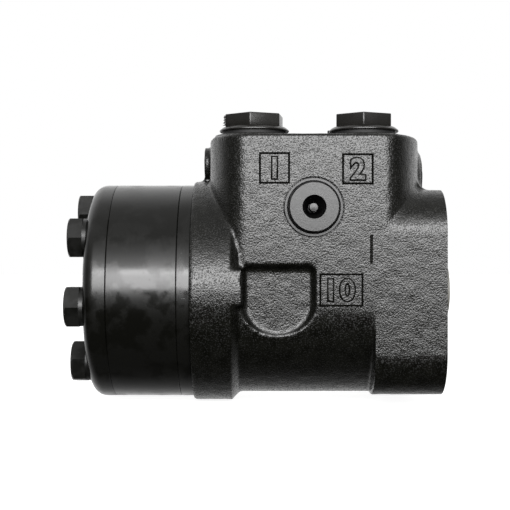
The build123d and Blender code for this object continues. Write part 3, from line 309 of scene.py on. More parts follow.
class Graph:
    """The nodes of one material, or of the world."""

    def __init__(self, owner):
        owner.use_nodes = True
        self.owner = owner
        self.tree = owner.node_tree
        self.tree.nodes.clear()

    def add(self, kind, settings=None, inputs=None):
        """Adds a node, sets its settings first and then gives its sockets values or links."""
        node = self.tree.nodes.new(kind)
        for name, value in (settings or {}).items():
            if name == "stops":
                self.set_stops(node.color_ramp, value)
            else:
                setattr(node, name, value)
        for name, value in (inputs or {}).items():
            if isinstance(value, Wire):
                self.tree.links.new(value.socket, node.inputs[name])
            else:
                node.inputs[name].default_value = value
        return Placed(self, node)

    def set_stops(self, ramp, stops):
        while len(ramp.elements) < len(stops):
            ramp.elements.new(0.5)
        for element, (place, colour) in zip(ramp.elements, stops):
            element.position = place
            element.color = colour

    def place(self):
        return self.add("ShaderNodeTexCoord").out("Object")

    def noise(self, place, size, detail=2.0, roughness=0.5):
        """Noise whose grain is about size metres, from 0 to 1 round a half."""
        inputs = {"Vector": place, "Scale": 1 / size, "Detail": detail, "Roughness": roughness}
        return self.add("ShaderNodeTexNoise", None, inputs).out("Fac")

    def ramp(self, value, stops):
        return self.add("ShaderNodeValToRGB", {"stops": stops}, {"Fac": value}).out("Color")

    def steps(self, value, low, high):
        """0 below low, 1 above high and even between them."""
        inputs = {"Value": value, "From Min": low, "From Max": high}
        return self.add("ShaderNodeMapRange", {"clamp": True}, inputs).out("Result")

    def mixed(self, share, first, second):
        settings = {"data_type": "RGBA"}
        inputs = {"Factor": share, 6: first, 7: second}
        return self.add("ShaderNodeMix", settings, inputs).out(2)

    def bumped(self, height, depth):
        inputs = {"Height": height, "Distance": depth, "Strength": 1.0}
        return self.add("ShaderNodeBump", None, inputs).out("Normal")

    def finish(self, shader, kind="ShaderNodeOutputMaterial"):
        self.add(kind, None, {"Surface": shader})
        return self.owner


def new_graph(name):
    return Graph(bpy.data.materials.new(name))


# ------------------------------------------------------------------- finishes

def cast_paint(name, colour):
    """Gloss black paint over a rough sand casting: soft lumps, finer grain and pits."""
    graph = new_graph(name)
    place = graph.place()
    broad = graph.noise(place, 5.0 * MM, 2.0)
    lumps = graph.noise(place, 1.6 * MM, 1.0, 0.4)
    grain = graph.noise(place, 0.62 * MM, 1.0, 0.5)
    height = grain + lumps * 0.5 + broad * 0.8
    normal = graph.bumped(height, CAST_BUMP * MM)
    tone = graph.steps(broad, 0.35, 0.65)
    dark = grey(colour - 3, colour - 3, colour - 5)
    pale = grey(colour + 4, colour + 4, colour + 1)
    base = graph.mixed(tone, dark, pale)
    pits = graph.steps(grain, 0.50, 0.64)
    roughness = 0.17 + pits * 0.36
    shader = graph.add("ShaderNodeBsdfPrincipled", None, {
        "Base Color": base, "Roughness": roughness, "Normal": normal, "IOR": PAINT_IOR}).out()
    return graph.finish(shader)


def smooth_paint(name, colour, roughness=0.13, orange_peel=0.010):
    """Gloss paint on a turned face: turning marks that show through, duller patches and a few pits."""
    graph = new_graph(name)
    place = graph.place()
    peel = graph.noise(place, 2.2 * MM, 2.0)
    patches = graph.noise(place, 11 * MM, 4.0, 0.6)
    round_axis = graph.add("ShaderNodeMapping", None, {"Vector": place, "Scale": (1.0, 0.04, 0.04)}).out()
    turning = graph.noise(round_axis, 0.9 * MM, 2.0, 0.6)
    specks = graph.steps(graph.noise(place, 1.1 * MM, 1.0), 0.76, 0.80)
    height = peel + turning * 0.25 - specks * 2.0
    normal = graph.bumped(height, orange_peel * MM)
    dull = graph.steps(patches, 0.46, 0.56)
    rough = roughness + dull * 0.11 + turning * 0.04
    base = graph.mixed(dull, grey(colour, colour, colour - 2), grey(colour + 4, colour + 4, colour + 2))
    shader = graph.add("ShaderNodeBsdfPrincipled", None, {
        "Base Color": base, "Roughness": rough, "Normal": normal, "IOR": PAINT_IOR}).out()
    return graph.finish(shader)


def moulded(name, colour, roughness, grain=0.02):
    """Moulded plastic or rubber with a fine grain and slight wear in its sheen."""
    graph = new_graph(name)
    place = graph.place()
    fine = graph.noise(place, 0.7 * MM, 2.0)
    wide = graph.noise(place, 5.0 * MM, 3.0)
    normal = graph.bumped(fine + wide * 0.8, grain * MM)
    shade = graph.mixed(graph.steps(wide, 0.3, 0.7), grey(*colour), grey(*[c + 6 for c in colour]))
    rough = roughness + wide * 0.12
    shader = graph.add("ShaderNodeBsdfPrincipled", None, {
        "Base Color": shade, "Roughness": rough, "Normal": normal}).out()
    return graph.finish(shader)


def steel(name, colour, roughness):
    """Bare ground steel with fine grinding marks round the unit's long axis."""
    graph = new_graph(name)
    place = graph.place()
    axes = graph.add("ShaderNodeMapping", None, {"Vector": place, "Scale": (12.0, 1.0, 1.0)}).out()
    marks = graph.noise(axes, 1.6 * MM, 3.0, 0.6)
    normal = graph.bumped(marks, 0.006 * MM)
    rough = roughness + marks * 0.15
    shade = graph.mixed(marks, grey(colour - 12), grey(colour + 8))
    shader = graph.add("ShaderNodeBsdfPrincipled", None, {
        "Base Color": shade, "Roughness": rough, "Normal": normal, "Metallic": 1.0}).out()
    return graph.finish(shader)


FINISHES = {
    "cast_paint": ["housing"],
    "smooth_paint": ["distributor_plate", "gerotor_ring", "end_cover"],
    "bolt_paint": ["cover_bolts", "cover_washers"],
    "plug_plastic": [
        "right_port_plug", "left_port_plug", "tank_port_plug", "pump_port_plug", "ls_plug"],
    "cap_plastic": ["spline_cap"],
    "rubber": [
        "port_plug_seals", "dust_seal", "shaft_seal", "housing_o_ring", "plate_o_ring",
        "ring_o_ring", "relief_plug_seal"],
    "plated_steel": [
        "gallery_plug", "relief_plug", "relief_screw", "near_shock_screw", "far_shock_screw"],
    "spring_steel": [
        "flat_springs", "arched_springs", "spring_ring", "near_shock_spring",
        "far_shock_spring", "relief_spring"],
}


def dress(material, nodes):
    """Gives CAD nodes one finish."""
    for name in nodes:
        mesh = frame["nodes"][name].data
        mesh.materials.clear()
        mesh.materials.append(material)


# ---------------------------------------------------------------------- shapes

def only(item):
    """Selects one object and makes it the active one."""
    bpy.ops.object.select_all(action="DESELECT")
    item.select_set(True)
    bpy.context.view_layer.objects.active = item


def editing(item, kind="VERT"):
    only(item)
    bpy.ops.object.mode_set(mode="EDIT")
    bpy.ops.mesh.select_mode(type=kind)
    bpy.ops.mesh.select_all(action="DESELECT")


def pick(item, wanted):
    """In edit mode, selects the vertices whose place wanted() accepts."""
    bpy.ops.object.mode_set(mode="OBJECT")
    for vertex in item.data.vertices:
        vertex.select = wanted(vertex.co)
    bpy.ops.object.mode_set(mode="EDIT")


def settled(item):
    """Leaves edit mode with the faces turned outward and the placing applied."""
    if bpy.context.object.mode == "EDIT":
        bpy.ops.object.mode_set(mode="OBJECT")
    only(item)
    bpy.ops.object.transform_apply(location=True, rotation=True, scale=True)
    bpy.ops.object.mode_set(mode="EDIT")
    bpy.ops.mesh.select_all(action="SELECT")
    bpy.ops.mesh.normals_make_consistent(inside=False)
    bpy.ops.object.mode_set(mode="OBJECT")
    return item


def modified(item, kind, **settings):
    """Adds a modifier, sets it and applies it."""
    only(item)
    modifier = item.modifiers.new(kind.title(), kind)
    for name, value in settings.items():
        setattr(modifier, name, value)
    bpy.ops.object.modifier_apply(modifier=modifier.name)


def turned(name, stations):
    """A closed round piece about Z: stations are radius and height, in mm, from the bottom face on."""
    radius, height = stations[0]
    bpy.ops.object.select_all(action="DESELECT")
    bpy.ops.mesh.primitive_circle_add(
        vertices=FINE, radius=radius * MM, fill_type="NGON", location=(0, 0, height * MM))
    item = bpy.context.object
    item.name = name
    bpy.ops.object.transform_apply(location=True, rotation=False, scale=False)
    editing(item)
    bpy.ops.mesh.select_all(action="SELECT")
    for wide, high in stations[1:]:
        bpy.ops.mesh.extrude_region_move(TRANSFORM_OT_translate={"value": (0, 0, (high - height) * MM)})
        bpy.ops.transform.resize(
            value=(wide / radius, wide / radius, 1), center_override=(0, 0, high * MM))
        radius, height = wide, high
    bpy.ops.object.mode_set(mode="OBJECT")
    return item


def facing_near(item, x, y, z):
    """Turns a piece drawn on the XY plane to face the near side and puts it in place."""
    item.rotation_euler = (math.radians(90), 0, 0)
    item.location = (x * MM, y * MM, z * MM)
    return settled(item)


def ridge_frame(name, width, height):
    """A rectangular cast ridge with sloping sides, flat on XY."""
    half = RIDGE_WIDTH / 2
    bpy.ops.object.select_all(action="DESELECT")
    bpy.ops.mesh.primitive_plane_add(size=1)
    item = bpy.context.object
    item.name = name
    item.scale = ((width + RIDGE_WIDTH) * MM, (height + RIDGE_WIDTH) * MM, 1)
    bpy.ops.object.transform_apply(location=False, rotation=False, scale=True)
    editing(item, "FACE")
    bpy.ops.mesh.select_all(action="SELECT")
    bpy.ops.mesh.inset(thickness=half * MM)
    bpy.ops.mesh.inset(thickness=half * MM)
    bpy.ops.mesh.delete(type="FACE")
    bpy.ops.mesh.select_mode(type="VERT")
    pick(item, lambda place: abs(abs(place.x) - width / 2 * MM) < 0.01 * MM
         or abs(abs(place.y) - height / 2 * MM) < 0.01 * MM)
    bpy.ops.transform.translate(value=(0, 0, RIDGE_HEIGHT * MM))
    bpy.ops.mesh.select_all(action="SELECT")
    bpy.ops.mesh.region_to_loop()
    bpy.ops.mesh.bridge_edge_loops()
    bpy.ops.mesh.select_all(action="SELECT")
    bpy.ops.transform.translate(value=(0, 0, -RIDGE_SINK * MM))
    bpy.ops.object.mode_set(mode="OBJECT")
    return item


def raised_number(name, body, size):
    """A cast number with sloping sides, centred flat on XY."""
    bpy.ops.object.select_all(action="DESELECT")
    bpy.ops.object.text_add()
    item = bpy.context.object
    item.name = name
    item.data.body = body
    item.data.size = size * MM
    item.data.align_x = "CENTER"
    item.data.align_y = "CENTER"
    item.data.offset = NUMBER_BOLDNESS * MM
    item.data.extrude = NUMBER_CORE * MM
    item.data.bevel_depth = NUMBER_EDGE * MM
    item.data.bevel_resolution = 0
    item.data.space_character = NUMBER_SPACING
    only(item)
    bpy.ops.object.convert(target="MESH")
    item = bpy.context.object
    editing(item)
    bpy.ops.mesh.select_all(action="SELECT")
    bpy.ops.mesh.remove_doubles(threshold=0.005 * MM)
    bpy.ops.object.mode_set(mode="OBJECT")
    corners = [Vector(corner) for corner in item.bound_box]
    middle = sum(corners, Vector()) / len(corners)
    item.location = -Vector((middle.x, middle.y, 0))
    bpy.ops.object.transform_apply(location=True, rotation=False, scale=False)
    return item


def cutter(radius, start, end, axis="X", at=(0, 0), segments=64):
    """A closed round bar in mm along one axis; at gives its place on the other two, in their order."""
    first, second = at
    middle = (start + end) / 2
    place = {
        "X": (middle, first, second), "Y": (first, middle, second), "Z": (first, second, middle)}[axis]
    turn = {"X": (0, math.radians(90), 0), "Y": (math.radians(90), 0, 0), "Z": (0, 0, 0)}[axis]
    bpy.ops.object.select_all(action="DESELECT")
    bpy.ops.mesh.primitive_cylinder_add(
        vertices=segments, radius=radius * MM, depth=abs(end - start) * MM,
        location=[value * MM for value in place], rotation=turn)
    bar = bpy.context.object
    bpy.ops.object.transform_apply(location=True, rotation=True, scale=True)
    return bar


def joined(items):
    bpy.ops.object.select_all(action="DESELECT")
    for item in items:
        item.select_set(True)
    bpy.context.view_layer.objects.active = items[0]
    bpy.ops.object.join()
    return items[0]


def combined(item, tool, operation):
    """Applies a boolean with tool and deletes the tool."""
    modified(item, "BOOLEAN", object=tool, operation=operation, solver="EXACT")
    only(tool)
    bpy.ops.object.delete()


def node_copy(node, name):
    """A copy of a CAD node's mesh as a piece of its own, its doubled vertices merged."""
    only(frame["nodes"][node])
    bpy.ops.object.duplicate(linked=False)
    copy = bpy.context.object
    copy.name = name
    copy.hide_render = False
    bpy.ops.object.parent_clear(type="CLEAR_KEEP_TRANSFORM")
    bpy.ops.object.transform_apply(location=True, rotation=True, scale=True)
    copy.data.materials.clear()
    for key in list(copy.keys()):
        del copy[key]
    editing(copy)
    bpy.ops.mesh.select_all(action="SELECT")
    bpy.ops.mesh.remove_doubles(threshold=0.001 * MM)
    bpy.ops.object.mode_set(mode="OBJECT")
    return copy


def fillers():
    """Bars that close every bore, so that the casting can be remeshed as one solid."""
    top = BLOCK_TOP + SPARE - FILLER_SHORTFALL
    front = SPARE - FILLER_SHORTFALL
    bars = [cutter(SPOOL_FILLER_RADIUS, HOUSING_BACK - front, front, segments=48)]
    for y in (-PORT_Y, PORT_Y):
        for x in PORT_X:
            bars.append(cutter(PORT_FILLER_RADIUS, PORT_FILLER_FOOT, top, "Z", (x, y)))
    for y in (-SHOCK_Y, SHOCK_Y):
        bars.append(cutter(SHOCK_FILLER_RADIUS, SHOCK_FILLER_FOOT, top, "Z", (SHOCK_X, y)))
    at_plug = (LS_PLUG_PLACE[0], LS_PLUG_PLACE[2])
    bars.append(cutter(LS_FILLER_RADIUS, BLOCK_FACE_Y, LS_FILLER_END, "Y", at_plug))
    bars.append(cutter(RELIEF_FILLER_RADIUS, RELIEF_FILLER_END, FRONT_BOSS_FACE, "X", (0, FRONT_BOSS_Z)))
    gallery_end = REAR_BOSS_FACE + GALLERY_FILLER_DEPTH
    bars.append(cutter(GALLERY_FILLER_RADIUS, REAR_BOSS_FACE, gallery_end, "X", (0, REAR_BOSS_Z)))
    for y in (-COLUMN_HOLE_AT, COLUMN_HOLE_AT):
        for z in (-COLUMN_HOLE_AT, COLUMN_HOLE_AT):
            bars.append(cutter(COLUMN_FILLER_RADIUS, COLUMN_FILLER_END, front, "X", (y, z), 32))
    return bars


def bores():
    """The machined openings as two sets of bars; the bars of one set stay clear of each other."""
    at_plug = (LS_PLUG_PLACE[0], LS_PLUG_PLACE[2])
    outside = BLOCK_FACE_Y - SPARE
    above = BLOCK_TOP + SPARE
    at_relief = (0, FRONT_BOSS_Z)
    at_gallery = (0, REAR_BOSS_Z)
    deep = [
        cutter(NECK_RADIUS, NECK_END, SPARE, "X", (0, 0), FINE),
        cutter(LS_THREAD_RADIUS, outside, BLOCK_FACE_Y + LS_THREAD_DEPTH, "Y", at_plug),
        cutter(RELIEF_BORE_RADIUS, RELIEF_BORE_END, FRONT_BOSS_FACE + SPARE, "X", at_relief),
        cutter(GALLERY_RADIUS, REAR_BOSS_FACE - SPARE, REAR_BOSS_FACE + GALLERY_DEPTH, "X", at_gallery),
    ]
    wide = [
        cutter(SEAL_BORE_RADIUS, SEAL_BORE_END, SPARE, "X", (0, 0), FINE),
        cutter(SPOOL_BORE_RADIUS, HOUSING_BACK - SPARE, SPOOL_BORE_FRONT, "X", (0, 0), FINE),
        cutter(LS_SEAT_RADIUS, outside, BLOCK_FACE_Y + LS_SEAT_DEPTH, "Y", at_plug, FINE),
    ]
    for y in (-PORT_Y, PORT_Y):
        for x in PORT_X:
            deep.append(cutter(PORT_THREAD_RADIUS, BLOCK_TOP - PORT_THREAD_DEPTH, above, "Z", (x, y)))
            wide.append(cutter(PORT_FACE_RADIUS, BLOCK_TOP - PORT_FACE_DEPTH, above, "Z", (x, y), FINE))
    for y in (-SHOCK_Y, SHOCK_Y):
        deep.append(cutter(SHOCK_BORE_RADIUS, BLOCK_TOP - SHOCK_BORE_DEPTH, above, "Z", (SHOCK_X, y)))
    for y in (-COLUMN_HOLE_AT, COLUMN_HOLE_AT):
        for z in (-COLUMN_HOLE_AT, COLUMN_HOLE_AT):
            deep.append(cutter(COLUMN_BORE_RADIUS, COLUMN_BORE_END, SPARE, "X", (y, z), 48))
    x, low, high, depth = CREASE
    wide.append(cutter(depth, low, high, "Z", (x, BLOCK_FACE_Y), 4))
    return joined(deep), joined(wide)


def push_faces(item, accepted, way):
    """Extrudes the faces that accepted() takes along way, in mm."""
    editing(item, "FACE")
    bpy.ops.object.mode_set(mode="OBJECT")
    for face in item.data.polygons:
        face.select = accepted(face)
    bpy.ops.object.mode_set(mode="EDIT")
    bpy.ops.mesh.extrude_region_move(TRANSFORM_OT_translate={"value": [value * MM for value in way]})
    bpy.ops.object.mode_set(mode="OBJECT")


def trimmed(item, point, outward):
    """Cuts the mesh off flat where it passes point, and closes it."""
    editing(item)
    bpy.ops.mesh.select_all(action="SELECT")
    bpy.ops.mesh.bisect(
        plane_co=[value * MM for value in point], plane_no=outward, use_fill=True, clear_outer=True)
    bpy.ops.object.mode_set(mode="OBJECT")


def make_cast_housing():
    """The casting with soft edges and a lumpy skin, its machined faces and bores cut back sharp."""
    skin = node_copy("housing", "cast_housing")
    pick(skin, lambda place: place.z < 0 and place.x > REAR_FLANGE_FRONT * MM)
    bpy.ops.transform.resize(value=(1, 1, LOWER_SHARE), center_override=(0, 0, 0))
    bpy.ops.object.mode_set(mode="OBJECT")
    sides = (((0, 0, 0), (1, 0, 0)), ((HOUSING_BACK, 0, 0), (-1, 0, 0)), ((0, 0, BLOCK_TOP), (0, 0, 1)))
    for point, outward in sides:
        way = Vector(outward)
        level = Vector(point).dot(way) * MM
        push_faces(skin, lambda face: face.normal.dot(way) > 0.999
                   and abs(face.center.dot(way) - level) < 0.05 * MM, way * SPARE)
    joined([skin, *fillers()])
    modified(skin, "REMESH", mode="VOXEL", voxel_size=VOXEL * MM)
    modified(skin, "SMOOTH", factor=0.5, iterations=SOFTENING)
    clouds = bpy.data.textures.new("cast lumps", "CLOUDS")
    clouds.noise_scale = LUMP_SIZE * MM
    clouds.noise_depth = 1
    modified(skin, "DISPLACE", texture=clouds, texture_coords="LOCAL",
             strength=LUMP_HEIGHT * MM, mid_level=0.5)
    for point, outward in sides:
        trimmed(skin, point, outward)
    for bar in bores():
        combined(skin, bar, "DIFFERENCE")
    return skin


# ------------------------------------------------------------------ properties

class UnitColours(bpy.types.PropertyGroup):
    """Colours of the unit's finishes, as display levels."""

    paint: bpy.props.IntProperty(
        name="Paint", description="Grey level of the black paint", default=7, min=0, max=255)
    plug: bpy.props.IntProperty(
        name="Port plugs", description="Grey level of the plastic port plugs", default=18,
        min=0, max=255)
    steel: bpy.props.IntProperty(
        name="Steel", description="Grey level of bare steel", default=190, min=0, max=255)


class CameraSettings(bpy.types.PropertyGroup):
    """Where the camera stands, in front of the unit's near side."""

    distance: bpy.props.FloatProperty(
        name="Distance", description="From the unit's axis to the camera",
        default=0.490, min=0.2, max=5.0, unit="LENGTH")
    along: bpy.props.FloatProperty(
        name="Along", description="Place along the unit's axis",
        default=-0.0821, min=-1.0, max=1.0, unit="LENGTH")
    height: bpy.props.FloatProperty(
        name="Height", description="Height above the unit's axis",
        default=0.0165, min=-1.0, max=1.0, unit="LENGTH")
    lens: bpy.props.FloatProperty(
        name="Lens", description="Focal length in millimetres on a 36 mm sensor",
        default=73.62, min=20.0, max=300.0)


class LightSettings(bpy.types.PropertyGroup):
    """The studio's soft lights."""

    key: bpy.props.FloatProperty(
        name="Front light", description="Strength of the low soft box in front",
        default=11.0, min=0.0, max=100.0)
    glow: bpy.props.FloatProperty(
        name="Upper glow", description="Strength of the glow that fades out above the front light",
        default=4.5, min=0.0, max=100.0)


# ----------------------------------------------------------------------- stage

def area_light(name, place, target, width, height, radiance):
    """A soft box facing target, whose glow is given per area."""
    light = bpy.data.lights.new(name, "AREA")
    light.shape = "RECTANGLE"
    light.size = width
    light.size_y = height
    light.energy = radiance * math.pi * width * height
    body = bpy.data.objects.new(name, light)
    bpy.context.scene.collection.objects.link(body)
    body.location = place
    body.rotation_mode = "QUATERNION"
    body.rotation_quaternion = (Vector(target) - Vector(place)).to_track_quat("-Z", "Y")
    return body


def make_world():
    """White for the camera; for the unit, bright behind, plain above and dark below in front."""
    world = bpy.data.worlds.new("Studio")
    bpy.context.scene.world = world
    graph = Graph(world)
    towards = graph.add("ShaderNodeTexCoord").out("Generated")
    parts = graph.add("ShaderNodeSeparateXYZ", None, {0: towards})
    angle = parts.out("Z").maths("ARCTAN2", parts.out("Z"), parts.out("Y") * -1.0)
    turn = angle / (2 * math.pi) + 0.5
    glow = graph.ramp(turn, [
        (0.5 + degrees / 360, (level, level, level, 1)) for degrees, level in AROUND])
    upper = graph.ramp(angle * (180 / math.pi / 90), [
        (degrees / 90, (level, level, level, 1)) for degrees, level in ABOVE_FRONT])
    aside = parts.out("X").maths("ABSOLUTE", parts.out("X"))
    strong = graph.add("ShaderNodeVectorMath", {"operation": "SCALE"}, {
        0: upper, "Scale": bpy.context.scene.unit_lights.glow}).out()
    front = graph.mixed(graph.steps(aside, 0.45, 0.70), strong, (0, 0, 0, 1))
    sides = graph.mixed(graph.steps(aside, 0.75, 0.98), (1, 1, 1, 1), (0.35, 0.35, 0.35, 1))
    around = graph.add("ShaderNodeMix", {"data_type": "RGBA", "blend_type": "MULTIPLY"}, {
        "Factor": 1.0, 6: glow, 7: sides}).out(2)
    whole = graph.add("ShaderNodeMix", {"data_type": "RGBA", "blend_type": "ADD"}, {
        "Factor": 1.0, 6: around, 7: front}).out(2)
    seen = graph.add("ShaderNodeLightPath").out("Is Camera Ray")
    colour = graph.mixed(seen, whole, (1, 1, 1, 1))
    back = graph.add("ShaderNodeBackground", None, {"Color": colour, "Strength": 1.0}).out()
    graph.finish(back, "ShaderNodeOutputWorld")


def floor_material():
    """White to the camera, with the unit's shadow; clear to every other ray."""
    graph = new_graph("pale floor")
    ways = graph.add("ShaderNodeLightPath")
    under = graph.add("ShaderNodeNewGeometry").out("Backfacing")
    shown = ways.out("Is Camera Ray") * (1.0 - under)
    white = graph.add("ShaderNodeBsdfDiffuse", None, {"Color": (0.5, 0.5, 0.5, 1)}).out()
    glow = graph.add("ShaderNodeEmission", None, {"Color": (1, 1, 1, 1), "Strength": 0.9}).out()
    lit = graph.add("ShaderNodeAddShader", None, {0: white, 1: glow}).out()
    clear = graph.add("ShaderNodeBsdfTransparent").out()
    shader = graph.add("ShaderNodeMixShader", None, {
        "Fac": shown, 1: clear, 2: lit}).out()
    return graph.finish(shader)


class StageOperator(bpy.types.Operator):
    """Adds the floor, the soft lights and the camera"""

    bl_idname = "steering_unit.stage"
    bl_label = "Stage, lights and camera"

    def execute(self, context):
        scene = context.scene
        low = CAD_BOX[0]
        bpy.ops.object.select_all(action="DESELECT")
        bpy.ops.mesh.primitive_plane_add(size=FLOOR_SIZE, location=(0, 0, low.z - FLOOR_DROP * MM))
        floor = context.object
        floor.name = "floor"
        bpy.ops.object.transform_apply(location=True, rotation=False, scale=False)
        floor.data.materials.append(floor_material())
        make_world()
        lights = scene.unit_lights
        area_light("Front light", FRONT_LIGHT_AT, FRONT_LIGHT_TARGET,
                   FRONT_LIGHT_WIDTH, FRONT_LIGHT_HEIGHT, lights.key)
        view = scene.unit_camera
        camera = bpy.data.cameras.new("Camera")
        camera.sensor_width = 36.0
        camera.lens = view.lens
        holder = bpy.data.objects.new("Camera", camera)
        scene.collection.objects.link(holder)
        holder.location = (view.along, -view.distance, view.height)
        holder.rotation_euler = (math.radians(90), 0, 0)
        scene.camera = holder
        scene.view_settings.view_transform = "Standard"
        return {"FINISHED"}


# ------------------------------------------------------------------- operators

class FinishOperator(bpy.types.Operator):
    """Paints the casting, the turned pieces, the plugs, seals and steel"""

    bl_idname = "steering_unit.finish"
    bl_label = "Finishes"

    def execute(self, context):
        colours = context.scene.unit_colours
        made = {
            "cast_paint": cast_paint("cast black paint", colours.paint),
            "smooth_paint": smooth_paint("smooth black paint", colours.paint),
            "bolt_paint": smooth_paint("bolt black", colours.paint, 0.34, 0.05),
            "plug_plastic": moulded(
                "plug plastic", (colours.plug, colours.plug - 1, colours.plug - 3), 0.20),
            "round_plug": moulded("round plug plastic", (colours.plug,) * 3, 0.22),
            "cap_plastic": moulded("cap plastic", CAP_LEVELS, 0.45),
            "rubber": moulded("seal rubber", RUBBER_LEVELS, 0.60, 0.03),
            "plated_steel": steel("plated steel", PLATED_LEVEL, 0.30),
            "spring_steel": steel("spring steel", SPRING_LEVEL, 0.28),
        }
        dressed = set()
        for finish, nodes in FINISHES.items():
            dress(made[finish], nodes)
            dressed.update(nodes)
        rest = sorted(set(frame["nodes"]) - dressed)
        dress(steel("ground steel", colours.steel, 0.22), rest)
        return {"FINISHED"}


def edge_broken(node):
    """A copy of a turned CAD piece whose outer rims are bevelled, so that the joints show as grooves."""
    piece = node_copy(node, node + "_edged")
    editing(piece, "EDGE")
    bpy.ops.object.mode_set(mode="OBJECT")
    places = [vertex.co for vertex in piece.data.vertices]
    rims = []
    for edge in piece.data.edges:
        first, second = (places[index] for index in edge.vertices)
        level = abs(first.x - second.x) < 0.001 * MM
        if level and min(first.yz.length, second.yz.length) > RIM_RADIUS * MM:
            edge.select = True
            rims.append(first.x)
    bpy.ops.object.mode_set(mode="EDIT")
    bpy.ops.mesh.bevel(offset=JOINT_EDGE * MM, segments=2)
    bpy.ops.object.mode_set(mode="OBJECT")
    only(piece)
    bpy.ops.object.shade_smooth_by_angle(angle=math.radians(25))
    piece.data.materials.append(bpy.data.materials["smooth black paint"])
    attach(piece, "housing")
    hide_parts(node)
    return rims


class GearSetOperator(bpy.types.Operator):
    """Breaks the outer edges of the plate, the gear ring and the cover where they meet"""

    bl_idname = "steering_unit.gear_set"
    bl_label = "Gear set edges"

    def execute(self, context):
        for node in ("distributor_plate", "gerotor_ring", "end_cover"):
            if not edge_broken(node):
                raise RuntimeError("no outer rim on " + node)
        return {"FINISHED"}


class SpringsOperator(bpy.types.Operator):
    """Puts copies of the coil and leaf springs, in spring steel, on the bodies that carry them"""

    bl_idname = "steering_unit.springs"
    bl_label = "Springs"

    def execute(self, context):
        for node, body, joint, axis, lift in SPRINGS:
            spring = node_copy(node, node + "_sprung")
            place = "XYZ".index(axis)
            way = Vector((0, 0, 0))
            way[place] = 1
            spring.data.materials.append(bpy.data.materials["spring steel"])
            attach(spring, body)
            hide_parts(node)
            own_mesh(spring)
        return {"FINISHED"}


class HousingOperator(bpy.types.Operator):
    """Gives the housing its cast skin"""

    bl_idname = "steering_unit.housing"
    bl_label = "Cast housing"

    def execute(self, context):
        skin = make_cast_housing()
        only(skin)
        bpy.ops.object.shade_smooth_by_angle(angle=math.radians(40))
        skin.data.materials.clear()
        skin.data.materials.append(bpy.data.materials["cast black paint"])
        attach(skin, "housing")
        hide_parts("housing")
        return {"FINISHED"}


class CastMarksOperator(bpy.types.Operator):
    """Adds the framed plain numbers cast on the block's near face"""

    bl_idname = "steering_unit.cast_marks"
    bl_label = "Cast marks"

    def execute(self, context):
        paint = bpy.data.materials["cast black paint"]
        for number, x, z, width, height in CAST_MARKS:
            parts = [ridge_frame("cast_mark_" + number, width, height),
                     raised_number("number_" + number, number, NUMBER_SIZE)]
            bpy.ops.object.select_all(action="DESELECT")
            for part in parts:
                part.select_set(True)
            bpy.context.view_layer.objects.active = parts[0]
            bpy.ops.object.join()
            mark = facing_near(parts[0], x, BLOCK_FACE_Y, z)
            mark.data.materials.clear()
            mark.data.materials.append(paint)
            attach(mark, "housing")
        return {"FINISHED"}


class LoadSensingPlugOperator(bpy.types.Operator):
    """Adds the round plug of the load sensing port, with its collar and hollow"""

    bl_idname = "steering_unit.load_sensing_plug"
    bl_label = "Load sensing plug"

    def execute(self, context):
        plug = turned("load_sensing_plug", LS_PLUG_STATIONS)
        facing_near(plug, *LS_PLUG_PLACE)
        bpy.ops.object.shade_smooth_by_angle(angle=math.radians(35))
        plug.data.materials.append(bpy.data.materials["round plug plastic"])
        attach(plug, "housing")
        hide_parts("ls_plug")
        return {"FINISHED"}


def hexagon(name, flats, foot, top, corner):
    """A closed hexagonal head in mm on Z, its edges rounded, with one corner at an angle in degrees."""
    radius = flats / 2 / math.cos(math.radians(30))
    bpy.ops.object.select_all(action="DESELECT")
    bpy.ops.mesh.primitive_cylinder_add(
        vertices=6, radius=radius * MM, depth=(top - foot) * MM, location=(0, 0, (top + foot) / 2 * MM))
    head = bpy.context.object
    head.name = name
    bpy.ops.object.transform_apply(location=True, rotation=False, scale=False)
    first = head.data.vertices[0].co
    head.rotation_euler = (0, 0, math.radians(corner) - math.atan2(first.y, first.x))
    bpy.ops.object.transform_apply(location=False, rotation=True, scale=False)
    modified(head, "BEVEL", width=HEX_EDGE * MM, segments=3,
             limit_method="ANGLE", angle_limit=math.radians(40))
    return head


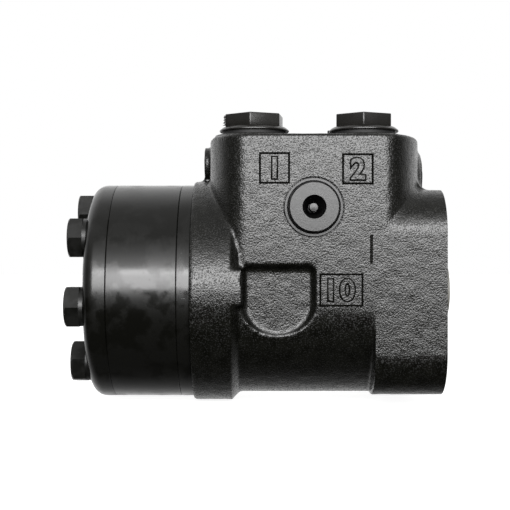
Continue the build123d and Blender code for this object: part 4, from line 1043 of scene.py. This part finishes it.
def moulding_flash(x, y, corner):
    """A thin ragged fin of spare plastic on one corner of a hexagon."""
    bpy.ops.object.select_all(action="DESELECT")
    bpy.ops.mesh.primitive_grid_add(x_subdivisions=FLASH_COLUMNS, y_subdivisions=FLASH_ROWS, size=1)
    fin = bpy.context.object
    fin.scale = (FLASH_REACH * MM, FLASH_HEIGHT * MM, 1)
    fin.rotation_euler = (math.radians(90), 0, 0)
    fin.location = (FLASH_REACH / 2 * MM, 0, 0)
    bpy.ops.object.transform_apply(location=True, rotation=True, scale=True)
    starts = [vertex.co.copy() for vertex in fin.data.vertices]
    editing(fin)
    for start in starts:
        pick(fin, lambda place: (place - start).xz.length < SAME_PLACE * MM)
        lean = math.sin(start.z / MM * FLASH_LEAN_PITCH + start.x / MM) * FLASH_LEAN
        bpy.ops.transform.translate(value=(0, lean * MM, 0))
    for row in range(FLASH_ROWS + 1):
        up = (row / FLASH_ROWS - 0.5) * FLASH_HEIGHT
        bpy.ops.mesh.select_all(action="DESELECT")
        pick(fin, lambda place: abs(place.z - up * MM) < SAME_PLACE * MM)
        ragged = sum(math.sin(up * pitch + phase) * share for pitch, phase, share in FLASH_WAVES)
        bpy.ops.transform.resize(value=(FLASH_MEAN_SHARE + ragged, 1, 1), center_override=(0, 0, 0))
    bpy.ops.object.mode_set(mode="OBJECT")
    modified(fin, "SOLIDIFY", thickness=FLASH_THICKNESS * MM, offset=0)
    radius = HEX_FLATS / 2 / math.cos(math.radians(30)) - FLASH_SINK
    angle = math.radians(corner)
    fin.rotation_euler = (0, 0, angle + FLASH_TURN)
    fin.location = ((x + radius * math.cos(angle)) * MM, (y + radius * math.sin(angle)) * MM,
                    (HEX_FOOT + HEX_TOP) / 2 * MM)
    only(fin)
    bpy.ops.object.transform_apply(location=True, rotation=True, scale=True)
    return fin


class PortPlugsOperator(bpy.types.Operator):
    """Adds the four moulded port plugs, each a hexagon on a domed collar"""

    bl_idname = "steering_unit.port_plugs"
    bl_label = "Port plugs"

    def execute(self, context):
        for node, x, y, sunk, corner in PORT_PLUGS:
            collar = turned(node + "_moulded", COLLAR_STATIONS)
            head = hexagon(node + "_head", HEX_FLATS, HEX_FOOT, HEX_TOP, corner)
            plug = joined([collar, head])
            plug.location = (x * MM, y * MM, -sunk * MM)
            settled(plug)
            if node == "right_port_plug":
                plug = settled(joined([plug, moulding_flash(x, y, corner + FLASH_CORNER)]))
            only(plug)
            bpy.ops.object.shade_smooth_by_angle(angle=math.radians(35))
            plug.data.materials.clear()
            plug.data.materials.append(bpy.data.materials["plug plastic"])
            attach(plug, "housing")
            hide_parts(node)
        return {"FINISHED"}


class SteeringUnitPanel(bpy.types.Panel):
    """Lists the colours, camera and light settings of the steering unit and a button for each step"""

    bl_idname = "VIEW3D_PT_steering_unit"
    bl_label = "Steering unit"
    bl_space_type = "VIEW_3D"
    bl_region_type = "UI"
    bl_category = "Steering unit"

    def draw(self, context):
        for name in ("unit_colours", "unit_camera", "unit_lights"):
            group = getattr(context.scene, name)
            box = self.layout.box()
            for key in group.bl_rna.properties.keys():
                if key not in ("rna_type", "name"):
                    box.prop(group, key)
        for operator in OPERATORS:
            self.layout.operator(operator.bl_idname)


GROUPS = {
    "unit_colours": UnitColours,
    "unit_camera": CameraSettings,
    "unit_lights": LightSettings,
}
OPERATORS = (
    FinishOperator, HousingOperator, GearSetOperator, SpringsOperator, CastMarksOperator,
    LoadSensingPlugOperator, PortPlugsOperator, StageOperator)
CLASSES = (*GROUPS.values(), *OPERATORS, SteeringUnitPanel)


def register():
    for item in CLASSES:
        bpy.utils.register_class(item)
    for name, group in GROUPS.items():
        setattr(bpy.types.Scene, name, bpy.props.PointerProperty(type=group))


def unregister():
    for name in GROUPS:
        delattr(bpy.types.Scene, name)
    for item in reversed(CLASSES):
        bpy.utils.unregister_class(item)


def main():
    register()
    for operator in OPERATORS:
        category, name = operator.bl_idname.split(".")
        getattr(getattr(bpy.ops, category), name)()


if __name__ == "__main__":
    main()
